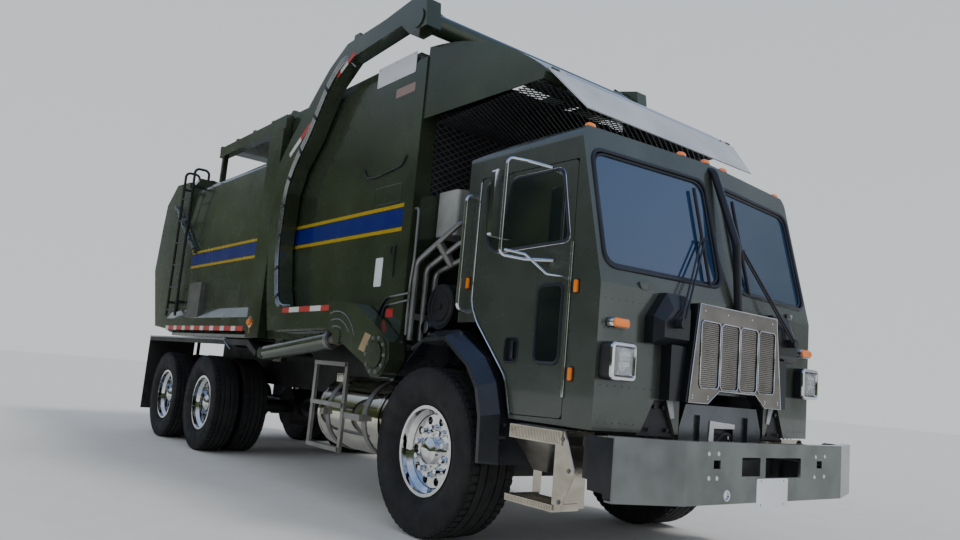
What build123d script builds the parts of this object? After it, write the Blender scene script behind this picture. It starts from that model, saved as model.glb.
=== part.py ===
"""Front-loading garbage truck: cab-over chassis, hopper with canopy, packer body and loading arms."""
from build123d import *
import math
import os

# The model is built with X measured forward from the front axle, Y to the left and Z up from the ground.
# When it is written, everything moves forward by ORIGIN_SHIFT, so that the origin is under the middle.

# Overall stations, in millimetres
FRONT_REACH = 1796
REAR_REACH = 7130
ORIGIN_SHIFT = (REAR_REACH - FRONT_REACH) / 2
WHEELBASE = 4478
TANDEM_SPACING = 1346
REAR_AXLE_X = -WHEELBASE - TANDEM_SPACING
TANDEM_MIDDLE_X = -WHEELBASE - TANDEM_SPACING / 2

# Clearances
SEAT = 0.3
RUNNING = 1.0
DOOR_GAP = 5

# Wheels
RIM_FLANGE_R = 298
RIM_WALL = 10
RIM_SKIN = 12
BEAD_R = 289
BEAD_SEAT = 45
DROP_DEPTH = 32
DROP_RAMP = 25
FRONT_TYRE_R = 555
FRONT_TYRE_WIDTH = 390
FRONT_RIM_WIDTH = 300
FRONT_RIM_FACE_Y = 1204
REAR_TYRE_R = 522
REAR_TYRE_WIDTH = 279
REAR_RIM_WIDTH = 210
REAR_RIM_FACE_Y = 1180
DUAL_SPACING = 330
TREAD_CROWN = 22
DISC_THICKNESS = 22
DISC_FLAT_R = 240
FRONT_DISC_INSET = 75
REAR_DISC_INSET = 150
HAND_HOLES = 10
HAND_HOLE_R = 27
HAND_HOLE_CIRCLE_R = 205
HUB_R = 118
HUB_CAP_R = 88
DRUM_R = 210
DRUM_WALL = 15
SPINDLE_R = 45
KINGPIN_Y = 850
KINGPIN_R = 24
STEER_BOSS_R = 48
STEER_BOSS_HALF = 75
KNUCKLE_HALF = 125

# Frame
RAIL_OUTER_Y = 430
RAIL_FLANGE = 90
RAIL_WALL = 9
RAIL_BOTTOM_Z = 780
RAIL_TOP_Z = 1050
RAIL_FRONT_X = 1200
RAIL_REAR_X = REAR_AXLE_X - 776
HORN_BOTTOM_Z = 600
HORN_TOP_Z = 730
HORN_FRONT_X = 1640
BODY_BEAM_INSET = 5
BODY_BEAM_WIDTH = 65
BODY_BEAM_FRONT_X = -760
CROSS_MEMBER_HALF = 35

# Bumper
BUMPER_BOTTOM_Z = 506
BUMPER_TOP_Z = 835
BUMPER_FLAT_Y = 810
BUMPER_END_Y = 1205
BUMPER_END_X = 1658
BUMPER_END_DEPTH = 190
BUMPER_WALL = 10
BUMPER_LIP = 45
# Each opening: y from and to, z from and to
WINCH_OPENINGS = [(-302, -120, 652, 755), (-65, 318, 642, 755), (-567, -505, 694, 739), (505, 567, 694, 739)]
TOW_HOLE = (-434, 551)
TOW_HOLE_R = 24

# Fenders
FRONT_FENDER_OUTLINE = [(-540, 1040), (-255, 1285), (-90, 1358), (180, 1372), (480, 1200), (610, 1050), (672, 860),
                        (690, 560)]
FENDER_SKIN = 14
FENDER_INNER_Y = 800
FENDER_EDGE_Y = 1140
FENDER_LIP_Y = 1238
REAR_FENDER_TOP_Z = 2 * REAR_TYRE_R + 196
REAR_FENDER_FRONT_X = -WHEELBASE + 1228
REAR_FENDER_NOSE_X = -WHEELBASE + 1478
REAR_FENDER_END_X = REAR_AXLE_X - 836
REAR_FENDER_INNER_Y = 600

# Cab
CAB_HALF_WIDTH = 1101
CAB_REAR_X = 100
CAB_WALL = 50
CAB_ROOF_Z = 2600
CAB_REAR_ROOF_Z = 2560
CAB_ARCH_Z = 1425
CAB_BOTTOM_Z = 840
GLASS_TOP_X = 1292
GLASS_BOTTOM_X = 1482
GLASS_TOP_Z = 2494
GLASS_BOTTOM_Z = 1722
NOSE_X = 1500
NOSE_TOP_Z = 1650
VEE_SWEEP = 108
WINDSHIELD_OUTER_TOP_Y = CAB_HALF_WIDTH - 51
WINDSHIELD_OUTER_BOTTOM_Y = CAB_HALF_WIDTH - 46
WINDSHIELD_INNER_Y = 85
GLASS_THICKNESS = 8
GLASS_SET_IN = 18.6
WINDSHIELD_CORNER_R = 70
CAB_CORNER_R = 90
TUNNEL_HALF_WIDTH = 440
TUNNEL_TOP_Z = 1560
TUNNEL_FRONT_X = 1330
TUNNEL_WALL = 25
NOSE_OPENING_Z = 1090
RECESS_DEPTH = 28
LAMP_Y = CAB_HALF_WIDTH - 127
MARKER_Y = CAB_HALF_WIDTH - 60
MARKER_X = 1188
MARKER_SWEEP = 53
SEAT_Y = (TUNNEL_HALF_WIDTH + TUNNEL_WALL + CAB_HALF_WIDTH - CAB_WALL) / 2
STEP_OUTER_Y = CAB_HALF_WIDTH + 114
TILT_PIVOT = (1290, 800)
TILT_PIN_R = 18
TILT_EYE_R = 32

# Door outline, X and Z on the cab's side
DOOR_OUTLINE = [(1155, 2390), (1155, 880), (722, 868), (655, 1095), (318, 1440), (250, 1560), (250, 2400)]
DOOR_WINDOW = [(1030, 2340), (1108, 1925), (430, 1895), (368, 1960), (368, 2345)]
DOOR_LOWER_WINDOW = (890, 1100, 1185, 1647)
DOOR_HANDLE_RECESS = (616, 740, 1177, 1327)
WINDOW_CORNER_R = 45
LOWER_WINDOW_CORNER_R = 40

# Grille and its cowls: outlines of Y and Z, then stations of X
GRILLE_BACK_X = 1440
GRILLE_FACE_X = 1552
GRILLE_FRAME = [(-490, 1030), (-300, 1030), (-190, 1108), (190, 1108), (300, 1030), (490, 1030), (412, 1615),
                (-412, 1615)]
GRILLE_PANEL_TOP_Z = 1515
GRILLE_PANEL_BOTTOM_Z = 1122
GRILLE_PANEL_PITCH = 200
GRILLE_RIB = 9
COWL_BASE = [(-755, 1345), (-755, 1500), (-650, 1645), (-455, 1645), (-455, 1345)]
COWL_FACE = [(-705, 1385), (-705, 1470), (-630, 1550), (-475, 1560), (-475, 1385)]
COWL_BEVEL_X = 1490
COWL_FACE_X = 1532
WIPER_PIVOT = (1572, 600, 1470)
WIPER_TIP = (1400, 210, 2050)
WIPER_BLADE_SHARES = (0.03, 0.86)
GUARD_TUBE_R = 26

# Hopper
HOPPER_HALF_WIDTH = 1130
HOPPER_WALL = 40
HOPPER_FRONT_X = -545
HOPPER_REAR_X = -2990
HOPPER_BOTTOM_Z = 1262
HOPPER_TOP_Z = 3500
FLOOR = 45
POST_DEPTH = 130
POST_PROUD = 12
MESH_BOTTOM_Z = 2420
MESH_TOP_Z = 3380
MESH_EDGE = 90
MESH_THICKNESS = 6

# Canopy over the cab
CANOPY_FRONT_X = 715
CANOPY_FRONT_HALF_WIDTH = 1030
CANOPY_FRONT_Z = 3100
CANOPY_REAR_Z = 3578
CANOPY_CROWN = (60, 3458)
CANOPY_BOTTOM_Z = 2995
CANOPY_FRONT_DROP = 70
CANOPY_WALL = 8
FLAP_HINGE = (729, 3103)
FLAP_HINGE_R = 11
FLAP_HINGE_PIN_R = 5
FLAP_KNUCKLES_Y = (870, 929, 990)
FLAP_FRONT_X = 1000
FLAP_FRONT_HALF_WIDTH = 895
FLAP_FRONT_Z = 2796
FLAP_THICKNESS = 8

# Packer body behind the hopper
BODY_HALF_WIDTH = HOPPER_HALF_WIDTH + 40
BODY_REAR_X = -6050
BODY_ROOF_Z = 3200
BODY_WALL = 45
SILL_HALF_WIDTH = BODY_HALF_WIDTH + 50
SILL_TOP_Z = 1620
SILL_EDGE_Z = 1470
FRAME_POST_FRONT_X = -3010
FRAME_POST_DEPTH = 330
FRAME_POST_TOP_Z = 3430
POST_OPENING_TOP_Z = 3300
POST_EAR_TOP_Z = 3560
REAR_RING_DEPTH = 160
REAR_RING_TOP_Z = 3345
LADDER_HOOP_Z = 3400

# Sliding top door and its rails
DOOR_RAIL_Y = HOPPER_HALF_WIDTH - 110
DOOR_RAIL_WIDTH = 90
DOOR_RAIL_TOP_Z = 3590
DOOR_RAIL_LIP = 30
DOOR_RAIL_FRONT_X = -700
DOOR_RAIL_REAR_X = -5200
TOP_DOOR_LENGTH = 2150
TOP_DOOR_THICKNESS = 40
TOP_DOOR_RIB = 20
TOP_DOOR_INSET = 10

# Lift arms: pivot, width and outline
ARM_PIVOT = (-615, 1166)
ARM_INNER_Y = HOPPER_HALF_WIDTH + 22
ARM_OUTER_Y = ARM_INNER_Y + 133
ARM_MIDDLE_Y = (ARM_INNER_Y + ARM_OUTER_Y) / 2
ARM_PIVOT_R = 165
ARM_OUTLINE = [
    (-2640, 1330), (-2790, 1780), (-2890, 2300), (-2915, 2690), (-2850, 2985), (-2630, 3210), (-2380, 3400),
    (-2150, 3590), (-1960, 3735), (-1660, 3885), (-1030, 3905), (-640, 3945), (-420, 3890), (-385, 3660),
    (-620, 3655), (-760, 3770), (-1580, 3720), (-1850, 3560), (-1960, 3430), (-2190, 3115), (-2440, 2880),
    (-2560, 2650), (-2580, 2100), (-2490, 1740), (-2400, 1545), (-1490, 1555), (-1380, 1590), (-1020, 1555),
    (-745, 1430), (-450, 1265), (-430, 1140), (-540, 1010), (-850, 1120), (-1200, 1262), (-1460, 1362),
]

# Fork shaft and forks
FORK_PIVOT = (-505, 3750)
CROSS_TUBE_R = 55
FORK_SLEEVE_R = 82
FORK_LENGTH = 1230
FORK_Y = 560
FORK_THICKNESS = 70

# Lift cylinders, and the slot that their rods' eyes move in as points from the front pin
LIFT_REAR_PIN = (-2760, 1120)
LIFT_FRONT_PIN = (-1250, 1290)
LIFT_BARREL_R = 75
LIFT_BARREL_LENGTH = 1320
LIFT_ROD_R = 42
LIFT_EYE_R = 56
LIFT_EYE_HALF = 42
LIFT_SLOT = [(-260, -200), (335, -200), (335, 10), (260, 95), (90, 115), (-150, 115)]

# Fork cylinders
FORK_CYL_REAR_PIN = (-1700, 3985)
FORK_LEVER = 205
FORK_LEVER_ANGLE = 135
FORK_CYL_R = 48
FORK_CYL_LENGTH = 860
FORK_ROD_R = 26
FORK_EYE_R = 34
FORK_EYE_HALF = 15
FORK_CYL_Y = ARM_INNER_Y - 54

# Tailgate
TAIL_HINGE = (-6120, 3330)
TAIL_HINGE_R = 34
TAIL_KNUCKLE_Y = (700, 860)
TAIL_EAR_R = 22
TAIL_EAR_WIDTH = 55
TAIL_SECTION = [(-6060, 3300), (-6060, 1330), (-6740, 1380), (-7130, 2160), (-7040, 2740), (-6960, 3090),
                (-6600, 3330)]
TAIL_WALL = 40
TAIL_RIB = 24
TAIL_RIB_HALF = 30
TAIL_EDGE_RIB = 65
TAIL_RIBS_Y = [-560, 0, 560]
TAIL_CYL_BODY_PIN = (-5350, 2300)
TAIL_CYL_GATE_PIN = (-6370, 2980)
TAIL_CYL_R = 28
TAIL_CYL_LENGTH = 1010
TAIL_ROD_R = 18
TAIL_EYE_R = 30
TAIL_EYE_HALF = 24
TAIL_CYL_Y = BODY_HALF_WIDTH + 32

# Pins and hinges
PIVOT_R = 58
CYL_PIN_R = 16
HINGE_X = 1160
HINGE_Y = CAB_HALF_WIDTH + 8.5
HINGE_R = 8
HINGE_BOTTOM_Z = 1000
HINGE_TOP_Z = 1890
HINGE_LEAF = 3

# Round tank
TANK_Y = -825
TANK_Z = 680
TANK_R = 298
TANK_REAR_X = -1745
TANK_FRONT_X = -760
STRAP = 8

# Intake and pipes behind the cab
AIR_CLEANER = (-300, 1555)
AIR_CLEANER_R = 165
AIR_CLEANER_OUTER_Y = -975
PIPE_X = -507
PIPE_R = 21
PIPE_FOOT_Z = 1295
PIPE_TOP_X = -160
PIPE_RETURN_Y = -560
PIPE_CLAMP_Z = 1450
# Each pipe: y, height of its knee, y at its top, height of its top
PIPES = [(-1080, 1880, -950, 2180), (-985, 1845, -915, 2050), (-900, 1820, -860, 1940)]
STACK_X = -115
STACK_Y = 500
STACK_R = 55
# Front x, outer y, inner y, bottom z and top z
RESERVOIR = (-280, -920, -620, 2100, 2450)


def block(x0, x1, y0, y1, z0, z1):
    """A box between two opposite corners."""
    centre = Pos((x0 + x1) / 2, (y0 + y1) / 2, (z0 + z1) / 2)
    return centre * Box(abs(x1 - x0), abs(y1 - y0), abs(z1 - z0))


def side_face(points, y, corner_r=0):
    """A flat face of X and Z points that stands at y, with its corners rounded."""
    face = make_face(Polyline([(x, y, z) for x, z in points], close=True)).face()
    if corner_r:
        face = face.fillet_2d(corner_r, face.vertices())
    return face


def side_plate(points, y0, y1, corner_r=0):
    """An outline of X and Z points, extruded across the truck from y0 to y1."""
    low, high = sorted((y0, y1))
    return extrude(side_face(points, low, corner_r), high - low, dir=(0, 1, 0))


def end_face(points, x):
    """A flat face of Y and Z points that stands across the truck at x."""
    return make_face(Polyline([(x, y, z) for y, z in points], close=True)).face()


def end_plate(points, x0, x1):
    """An outline of Y and Z points, extruded along the truck from x0 to x1."""
    low, high = sorted((x0, x1))
    return extrude(end_face(points, low), high - low, dir=(1, 0, 0))


def plan_plate(points, z0, z1):
    """An outline of X and Y points, extruded upwards from z0 to z1."""
    face = make_face(Polyline([(x, y, z0) for x, y in points], close=True)).face()
    return extrude(face, z1 - z0, dir=(0, 0, 1))


def bar(start, end, radius):
    """A round bar between two points."""
    start, end = Vector(*start), Vector(*end)
    return Solid.make_cylinder(radius, (end - start).length, Plane(origin=start, z_dir=end - start))


def across(x, z, y0, y1, radius):
    """A round bar across the truck."""
    return bar((x, y0, z), (x, y1, z), radius)


def bent_tube(points, radius, bend_r):
    """A round tube along straight runs that are joined by arcs."""
    path = FilletPolyline(*points, radius=bend_r)
    return sweep(Plane(origin=path @ 0, z_dir=path % 0) * Circle(radius), path)


def spun(profile, x, z, side):
    """A profile of radius and distance from the middle plane, spun about the line across the truck."""
    face = make_face(Polyline([(r, t) for r, t in profile], close=True)).face()
    solid = revolve(face, Axis.Y)
    return Pos(x, 0, z) * (solid if side > 0 else mirror(solid, Plane.XZ))


def mirrored(shape):
    """The same shape on the other side of the truck."""
    return mirror(shape, Plane.XZ)


def pair(shape):
    """A shape and its mirror image."""
    return [shape, mirrored(shape)]


# Wheels

def tyre(radius, width, rim_width, centre_y, x, side):
    """One tyre as a ring with a bulging wall and a slightly crowned tread, its beads against the rim's flanges."""
    bead_y = rim_width / 2 - RIM_WALL - SEAT
    wall = [(BEAD_R, bead_y), (RIM_FLANGE_R + 2, bead_y), (BEAD_R + 0.45 * (radius - BEAD_R), width / 2),
            (radius - TREAD_CROWN, 0.47 * width), (radius, 0.40 * width)]
    outer = [(r, centre_y + reach) for r, reach in wall]
    inner = [(r, centre_y - reach) for r, reach in reversed(wall)]
    return spun(outer + inner, x, radius, side)


def rim_ring(width, face_y, x, z, side):
    """The ring of one rim: two flanges, the seats of the tyre's beads and the drop centre between them."""
    inner_y = face_y - width
    seat_r = BEAD_R - SEAT
    drop_r = seat_r - DROP_DEPTH
    ramp = BEAD_SEAT + DROP_RAMP
    outer = [(RIM_FLANGE_R, face_y), (RIM_FLANGE_R, face_y - RIM_WALL), (seat_r, face_y - RIM_WALL),
             (seat_r, face_y - BEAD_SEAT), (drop_r, face_y - ramp), (drop_r, inner_y + ramp),
             (seat_r, inner_y + BEAD_SEAT), (seat_r, inner_y + RIM_WALL), (RIM_FLANGE_R, inner_y + RIM_WALL),
             (RIM_FLANGE_R, inner_y)]
    bore = [(seat_r - RIM_SKIN, inner_y), (seat_r - RIM_SKIN, inner_y + BEAD_SEAT - 4),
            (drop_r - RIM_SKIN, inner_y + ramp), (drop_r - RIM_SKIN, face_y - ramp),
            (seat_r - RIM_SKIN, face_y - BEAD_SEAT + 4), (seat_r - RIM_SKIN, face_y)]
    return spun(outer + bore, x, z, side)


def disc(disc_y, edge_r, x, z, side):
    """A wheel's disc, dished outside its flat middle, with its hand holes."""
    slope = 26
    profile = [(HUB_R - 2, disc_y), (DISC_FLAT_R, disc_y), (edge_r, disc_y - slope),
               (edge_r, disc_y - slope - DISC_THICKNESS), (DISC_FLAT_R, disc_y - DISC_THICKNESS),
               (HUB_R - 2, disc_y - DISC_THICKNESS)]
    holes = []
    for i in range(HAND_HOLES):
        angle = 2 * math.pi * i / HAND_HOLES
        hole_x = x + HAND_HOLE_CIRCLE_R * math.cos(angle)
        hole_z = z + HAND_HOLE_CIRCLE_R * math.sin(angle)
        holes.append(across(hole_x, hole_z, side * (disc_y - 60), side * (disc_y + 20), HAND_HOLE_R))
    return spun(profile, x, z, side) - holes


def hub(face_y, disc_y, x, z, side):
    """The hub with its cap outside the disc and its brake drum inside."""
    bore_r = SPINDLE_R + RUNNING
    drum_y = disc_y - 60
    profile = [(bore_r, disc_y + 30), (0, disc_y + 30), (0, face_y - 12), (60, face_y - 12),
               (HUB_CAP_R, face_y - 30), (HUB_CAP_R, disc_y + 12), (HUB_R, disc_y + 12), (HUB_R, disc_y - 40),
               (DRUM_R, drum_y), (DRUM_R, drum_y - 140), (DRUM_R - DRUM_WALL, drum_y - 140),
               (DRUM_R - DRUM_WALL, drum_y - DRUM_WALL), (bore_r, drum_y - DRUM_WALL)]
    return spun(profile, x, z, side)


def front_wheel(side):
    """The steered wheel's rim with its hub."""
    disc_y = FRONT_RIM_FACE_Y - FRONT_DISC_INSET
    ring = rim_ring(FRONT_RIM_WIDTH, FRONT_RIM_FACE_Y, 0, FRONT_TYRE_R, side)
    plate = disc(disc_y, BEAD_R - DROP_DEPTH - 5, 0, FRONT_TYRE_R, side)
    return [ring + plate + hub(FRONT_RIM_FACE_Y, disc_y, 0, FRONT_TYRE_R, side)]


def front_tyre(side):
    """The wide single tyre of the steered wheel."""
    middle_y = FRONT_RIM_FACE_Y - FRONT_RIM_WIDTH / 2
    return [tyre(FRONT_TYRE_R, FRONT_TYRE_WIDTH, FRONT_RIM_WIDTH, middle_y, 0, side)]


def rear_wheel(x, side):
    """Twin rims whose discs meet at the hub."""
    z = REAR_TYRE_R
    disc_y = REAR_RIM_FACE_Y - REAR_DISC_INSET
    inner_face = REAR_RIM_FACE_Y - DUAL_SPACING
    outer = rim_ring(REAR_RIM_WIDTH, REAR_RIM_FACE_Y, x, z, side) + disc(disc_y, BEAD_R - 7, x, z, side)
    inner = rim_ring(REAR_RIM_WIDTH, inner_face, x, z, side)
    land_y = inner_face - BEAD_SEAT - DROP_RAMP
    land_r = BEAD_R - DROP_DEPTH - 5
    back_y = disc_y - DISC_THICKNESS
    web = spun([(HUB_R - 2, back_y), (DISC_FLAT_R, back_y), (land_r, land_y), (land_r, land_y - 20),
                (DISC_FLAT_R - DISC_THICKNESS / 2, back_y - DISC_THICKNESS), (HUB_R - 2, back_y - DISC_THICKNESS)],
               x, z, side)
    return [outer + inner + web + hub(REAR_RIM_FACE_Y - 30, disc_y, x, z, side)]


def rear_tyres(x, side):
    """Both tyres of a twin wheel."""
    outer_y = REAR_RIM_FACE_Y - REAR_RIM_WIDTH / 2
    places = (outer_y, outer_y - DUAL_SPACING)
    return [tyre(REAR_TYRE_R, REAR_TYRE_WIDTH, REAR_RIM_WIDTH, y, x, side) for y in places]


# Running gear

def frame_rails():
    """Two channel rails joined by cross members, with the beams that carry the body on top."""
    web = block(RAIL_REAR_X, RAIL_FRONT_X, RAIL_OUTER_Y - RAIL_WALL, RAIL_OUTER_Y, RAIL_BOTTOM_Z, RAIL_TOP_Z)
    flanges = [block(RAIL_REAR_X, RAIL_FRONT_X, RAIL_OUTER_Y - RAIL_FLANGE, RAIL_OUTER_Y, z, z + RAIL_WALL)
               for z in (RAIL_BOTTOM_Z, RAIL_TOP_Z - RAIL_WALL)]
    beam_y = RAIL_OUTER_Y - BODY_BEAM_INSET
    beam = block(BODY_REAR_X, BODY_BEAM_FRONT_X, beam_y - BODY_BEAM_WIDTH, beam_y, RAIL_TOP_Z, HOPPER_BOTTOM_Z)
    horn = block(RAIL_FRONT_X - 90, HORN_FRONT_X, RAIL_OUTER_Y - RAIL_FLANGE, RAIL_OUTER_Y, HORN_BOTTOM_Z,
                 HORN_TOP_Z)
    drop = block(RAIL_FRONT_X - 90, RAIL_FRONT_X - 10, RAIL_OUTER_Y - 40, RAIL_OUTER_Y, HORN_TOP_Z, RAIL_BOTTOM_Z)
    x, z = TILT_PIVOT
    tilt_lug = block(x - 35, x + 35, RAIL_OUTER_Y - 35, RAIL_OUTER_Y, HORN_TOP_Z - 5, z)
    tilt_lug = tilt_lug + across(x, z, RAIL_OUTER_Y - 35, RAIL_OUTER_Y, 35)
    tilt_pin = across(x, z, RAIL_OUTER_Y - 5, RAIL_OUTER_Y + 60, TILT_PIN_R)
    half = web + flanges + beam + horn + drop + tilt_lug + tilt_pin
    reach = RAIL_OUTER_Y - RAIL_WALL / 2
    thick = CROSS_MEMBER_HALF
    front_x = HORN_FRONT_X - 80
    crossings = [block(front_x - thick, front_x + thick, -reach, reach, HORN_BOTTOM_Z + 20, HORN_TOP_Z - 20)]
    for x in (-1500, -2600, -3700, TANDEM_MIDDLE_X, RAIL_REAR_X + 100):
        crossings.append(block(x - thick, x + thick, -reach, reach, RAIL_BOTTOM_Z + 40, RAIL_TOP_Z - 40))
    lamp_bar = block(RAIL_REAR_X - 12, RAIL_REAR_X, -REAR_FENDER_INNER_Y, REAR_FENDER_INNER_Y, 850, 1030)
    return [half + mirrored(half) + crossings + lamp_bar]


def nose_panel():
    """The bright panel under the grille and its two side brackets, which stay on the frame when the cab tilts."""
    x0, x1 = 1425, 1450
    panel = end_plate([(-370, 1020), (370, 1020), (425, 880), (425, 790), (-425, 790), (-425, 880)], x0, x1)
    legs = [block(x0, x1, s * (RAIL_OUTER_Y - 80), s * (RAIL_OUTER_Y - 5), HORN_TOP_Z, 800) for s in (-1, 1)]
    ribs = [block(x0, x1 + 22, s * 250 - 6, s * 250 + 6, 800, 960) for s in (-1, 1)]
    opening = block(x0 - 5, x1 + 5, -90, 120, 770, 885)
    return [panel + legs + ribs - opening]


def bumper_plan(z0, z1):
    """The bumper's swept plan, extruded from z0 to z1."""
    back_x = BUMPER_END_X - BUMPER_END_DEPTH
    right = [(BUMPER_END_X, -BUMPER_END_Y), (FRONT_REACH, -BUMPER_FLAT_Y)]
    left = [(FRONT_REACH, BUMPER_FLAT_Y), (BUMPER_END_X, BUMPER_END_Y)]
    return plan_plate(right + left + [(back_x, BUMPER_END_Y), (back_x, -BUMPER_END_Y)], z0, z1)


def bumper():
    """A swept steel bumper, open at the back, with its brackets, lamp slots and winch openings."""
    cavity = Pos(-BUMPER_WALL, 0, 0) * bumper_plan(BUMPER_BOTTOM_Z + BUMPER_WALL, BUMPER_TOP_Z - BUMPER_WALL)
    lip_void = Pos(-BUMPER_LIP - BUMPER_WALL, 0, 0) * bumper_plan(BUMPER_BOTTOM_Z - 1, BUMPER_TOP_Z + 1)
    shell = bumper_plan(BUMPER_BOTTOM_Z, BUMPER_TOP_Z) - cavity - lip_void
    reach = (FRONT_REACH - 96, FRONT_REACH + 104)
    openings = [block(*reach, y0, y1, z0, z1) for y0, y1, z0, z1 in WINCH_OPENINGS]
    openings.append(bar((reach[0], *TOW_HOLE), (reach[1], *TOW_HOLE), TOW_HOLE_R))
    bracket_y = RAIL_OUTER_Y - 35
    inside_x = FRONT_REACH - BUMPER_WALL
    bracket = block(HORN_FRONT_X, inside_x, bracket_y - 15, bracket_y + 15, 560, HORN_TOP_Z)
    brackets = pair(bracket)
    ends = [block(1450, BUMPER_END_X + 60, s * 900 - 20, s * 900 + 20, 560, 780) for s in (-1, 1)]
    ties = [block(1650, 1690, s * (bracket_y - 10), s * 905, 620, 700) for s in (-1, 1)]
    return [shell - openings + brackets + ends + ties]


def front_axle():
    """The beam axle with its kingpin bosses and the leaf springs that carry it."""
    z = FRONT_TYRE_R
    boss = bar((0, KINGPIN_Y, z - STEER_BOSS_HALF), (0, KINGPIN_Y, z + STEER_BOSS_HALF), STEER_BOSS_R)
    knee_y = KINGPIN_Y - 20
    knee = end_plate([(560, z - 165), (560, z - 55), (knee_y, z + 45), (knee_y, z - 55), (640, z - 165)], -50, 50)
    bore = bar((0, KINGPIN_Y, z - 155), (0, KINGPIN_Y, z + 145), KINGPIN_R + RUNNING)
    beam = block(-50, 50, -570, 570, z - 165, z - 55)
    spring = side_plate([(-760, 740), (-700, 700), (0, 560), (700, 700), (760, 740), (700, 762), (0, 640),
                         (-700, 762)], RAIL_OUTER_Y - 80, RAIL_OUTER_Y)
    seat = block(-110, 110, RAIL_OUTER_Y - 85, RAIL_OUTER_Y + 5, z - 60, z + 25)
    hangers = [block(x - 40, x + 40, RAIL_OUTER_Y - 80, RAIL_OUTER_Y, 730, RAIL_BOTTOM_Z) for x in (-730, 730)]
    half = knee + boss + spring + seat + hangers - bore
    return [half + mirrored(half) + beam]


def knuckle(side):
    """The steering knuckle: kingpin, fork, stub axle and steering arm."""
    z = FRONT_TYRE_R
    gap = STEER_BOSS_HALF + 2
    pin = bar((0, KINGPIN_Y, z - KNUCKLE_HALF), (0, KINGPIN_Y, z + KNUCKLE_HALF), KINGPIN_R)
    eyes = [bar((0, KINGPIN_Y, z + s * gap), (0, KINGPIN_Y, z + s * KNUCKLE_HALF), STEER_BOSS_R) for s in (-1, 1)]
    lugs = [block(-STEER_BOSS_R, STEER_BOSS_R, KINGPIN_Y, KINGPIN_Y + 70, z + s * gap, z + s * KNUCKLE_HALF)
            for s in (-1, 1)]
    back = block(-55, 55, KINGPIN_Y + STEER_BOSS_R + 8, KINGPIN_Y + 92, z - KNUCKLE_HALF, z + KNUCKLE_HALF)
    stub = across(0, z, KINGPIN_Y + 80, FRONT_RIM_FACE_Y - FRONT_DISC_INSET + 28, SPINDLE_R)
    lever = block(-230, 0, KINGPIN_Y - 20, KINGPIN_Y + 25, z - KNUCKLE_HALF, z - KNUCKLE_HALF + 30)
    whole = pin + eyes + lugs + back + stub + lever
    return [whole if side > 0 else mirrored(whole)]


def rear_axles():
    """Two driven axles with their housings, walking beams and the shaft between them."""
    z = REAR_TYRE_R
    pieces = []
    stub_y = REAR_RIM_FACE_Y - REAR_DISC_INSET + 28
    for x in (-WHEELBASE, REAR_AXLE_X):
        pieces.append(across(x, z, -760, 760, 72))
        pieces.append(across(x, z, -stub_y, stub_y, SPINDLE_R))
        pieces.append(across(x, z, -150, 150, 215))
        pieces.append(bar((x, 0, z), (x + 330, 0, z + 20), 110))
    middle = TANDEM_MIDDLE_X
    outline = [(-WHEELBASE + 80, z - 60), (-WHEELBASE + 80, z + 60), (middle + 150, z + 40), (middle, z + 70),
               (middle - 150, z + 40), (REAR_AXLE_X - 80, z + 60), (REAR_AXLE_X - 80, z - 60), (middle, z - 80)]
    beam_y = RAIL_OUTER_Y + 40
    beam = side_plate(outline, beam_y, beam_y + 90)
    saddle = side_plate([(middle - 230, RAIL_BOTTOM_Z + 200), (middle + 230, RAIL_BOTTOM_Z + 200),
                         (middle + 90, z), (middle - 90, z)], RAIL_OUTER_Y, beam_y + 5)
    pieces += pair(beam) + pair(saddle)
    pieces.append(bar((-WHEELBASE - 200, 0, z + 20), (REAR_AXLE_X + 300, 0, z + 20), 52))
    whole = pieces[0]
    for piece in pieces[1:]:
        whole = whole + piece
    return [whole]


def drive_line():
    """The engine as one plain block, its gearbox, and the shaft to the first driven axle."""
    engine = block(-250, 930, -300, 300, 560, 1440)
    gearbox = bar((-250, 0, 760), (-980, 0, 760), 215)
    shaft = bar((-980, 0, 740), (-WHEELBASE + 335, 0, REAR_TYRE_R + 25), 55)
    reach = RAIL_OUTER_Y - RAIL_WALL
    mounts = [block(x - 60, x + 60, -reach, reach, RAIL_BOTTOM_Z + 20, RAIL_BOTTOM_Z + 80) for x in (-60, 780)]
    return [engine + gearbox + shaft + mounts]


def shrunk(points, share_x, share_z):
    """An outline drawn in towards the axle's line, by one share along and one share up."""
    return [(x * share_x, FRONT_TYRE_R + (z - FRONT_TYRE_R) * share_z) for x, z in points]


def front_fenders():
    """Faceted black fenders over the steered wheels, bevelled towards their outer lip."""
    outline = FRONT_FENDER_OUTLINE
    (tail_x, tail_z), (foot_x, foot_z) = outline[0], outline[-1]
    inner = [(tail_x + 10, tail_z - 12)] + [(x * 0.978, z - FENDER_SKIN) for x, z in outline[1:-1]]
    inner.append((foot_x - FENDER_SKIN, foot_z))
    skin = side_plate(outline + inner[::-1], FENDER_INNER_Y, FENDER_EDGE_Y)
    band = outline[1:] + inner[:0:-1]
    lip = shrunk(outline[1:], 0.90, 0.93) + shrunk(outline[1:], 0.86, 0.90)[::-1]
    bevel = loft([side_face(band, FENDER_EDGE_Y), side_face(lip, FENDER_LIP_Y)], ruled=True)
    rear_arm = block(-300, -200, RAIL_OUTER_Y, FENDER_INNER_Y + 12, 1140, 1190)
    riser = [(-290, 1140), (-210, 1140), (-210, 1298), (-290, 1248)]
    riser = side_plate(riser, FENDER_INNER_Y, FENDER_INNER_Y + 12)
    front_arm = block(600, 650, RAIL_OUTER_Y, FENDER_INNER_Y + 10, 880, 930)
    post = block(-300, -200, RAIL_OUTER_Y - 10, RAIL_OUTER_Y + 20, RAIL_TOP_Z, 1190)
    return pair(skin + bevel + rear_arm + riser + front_arm + post)


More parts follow.
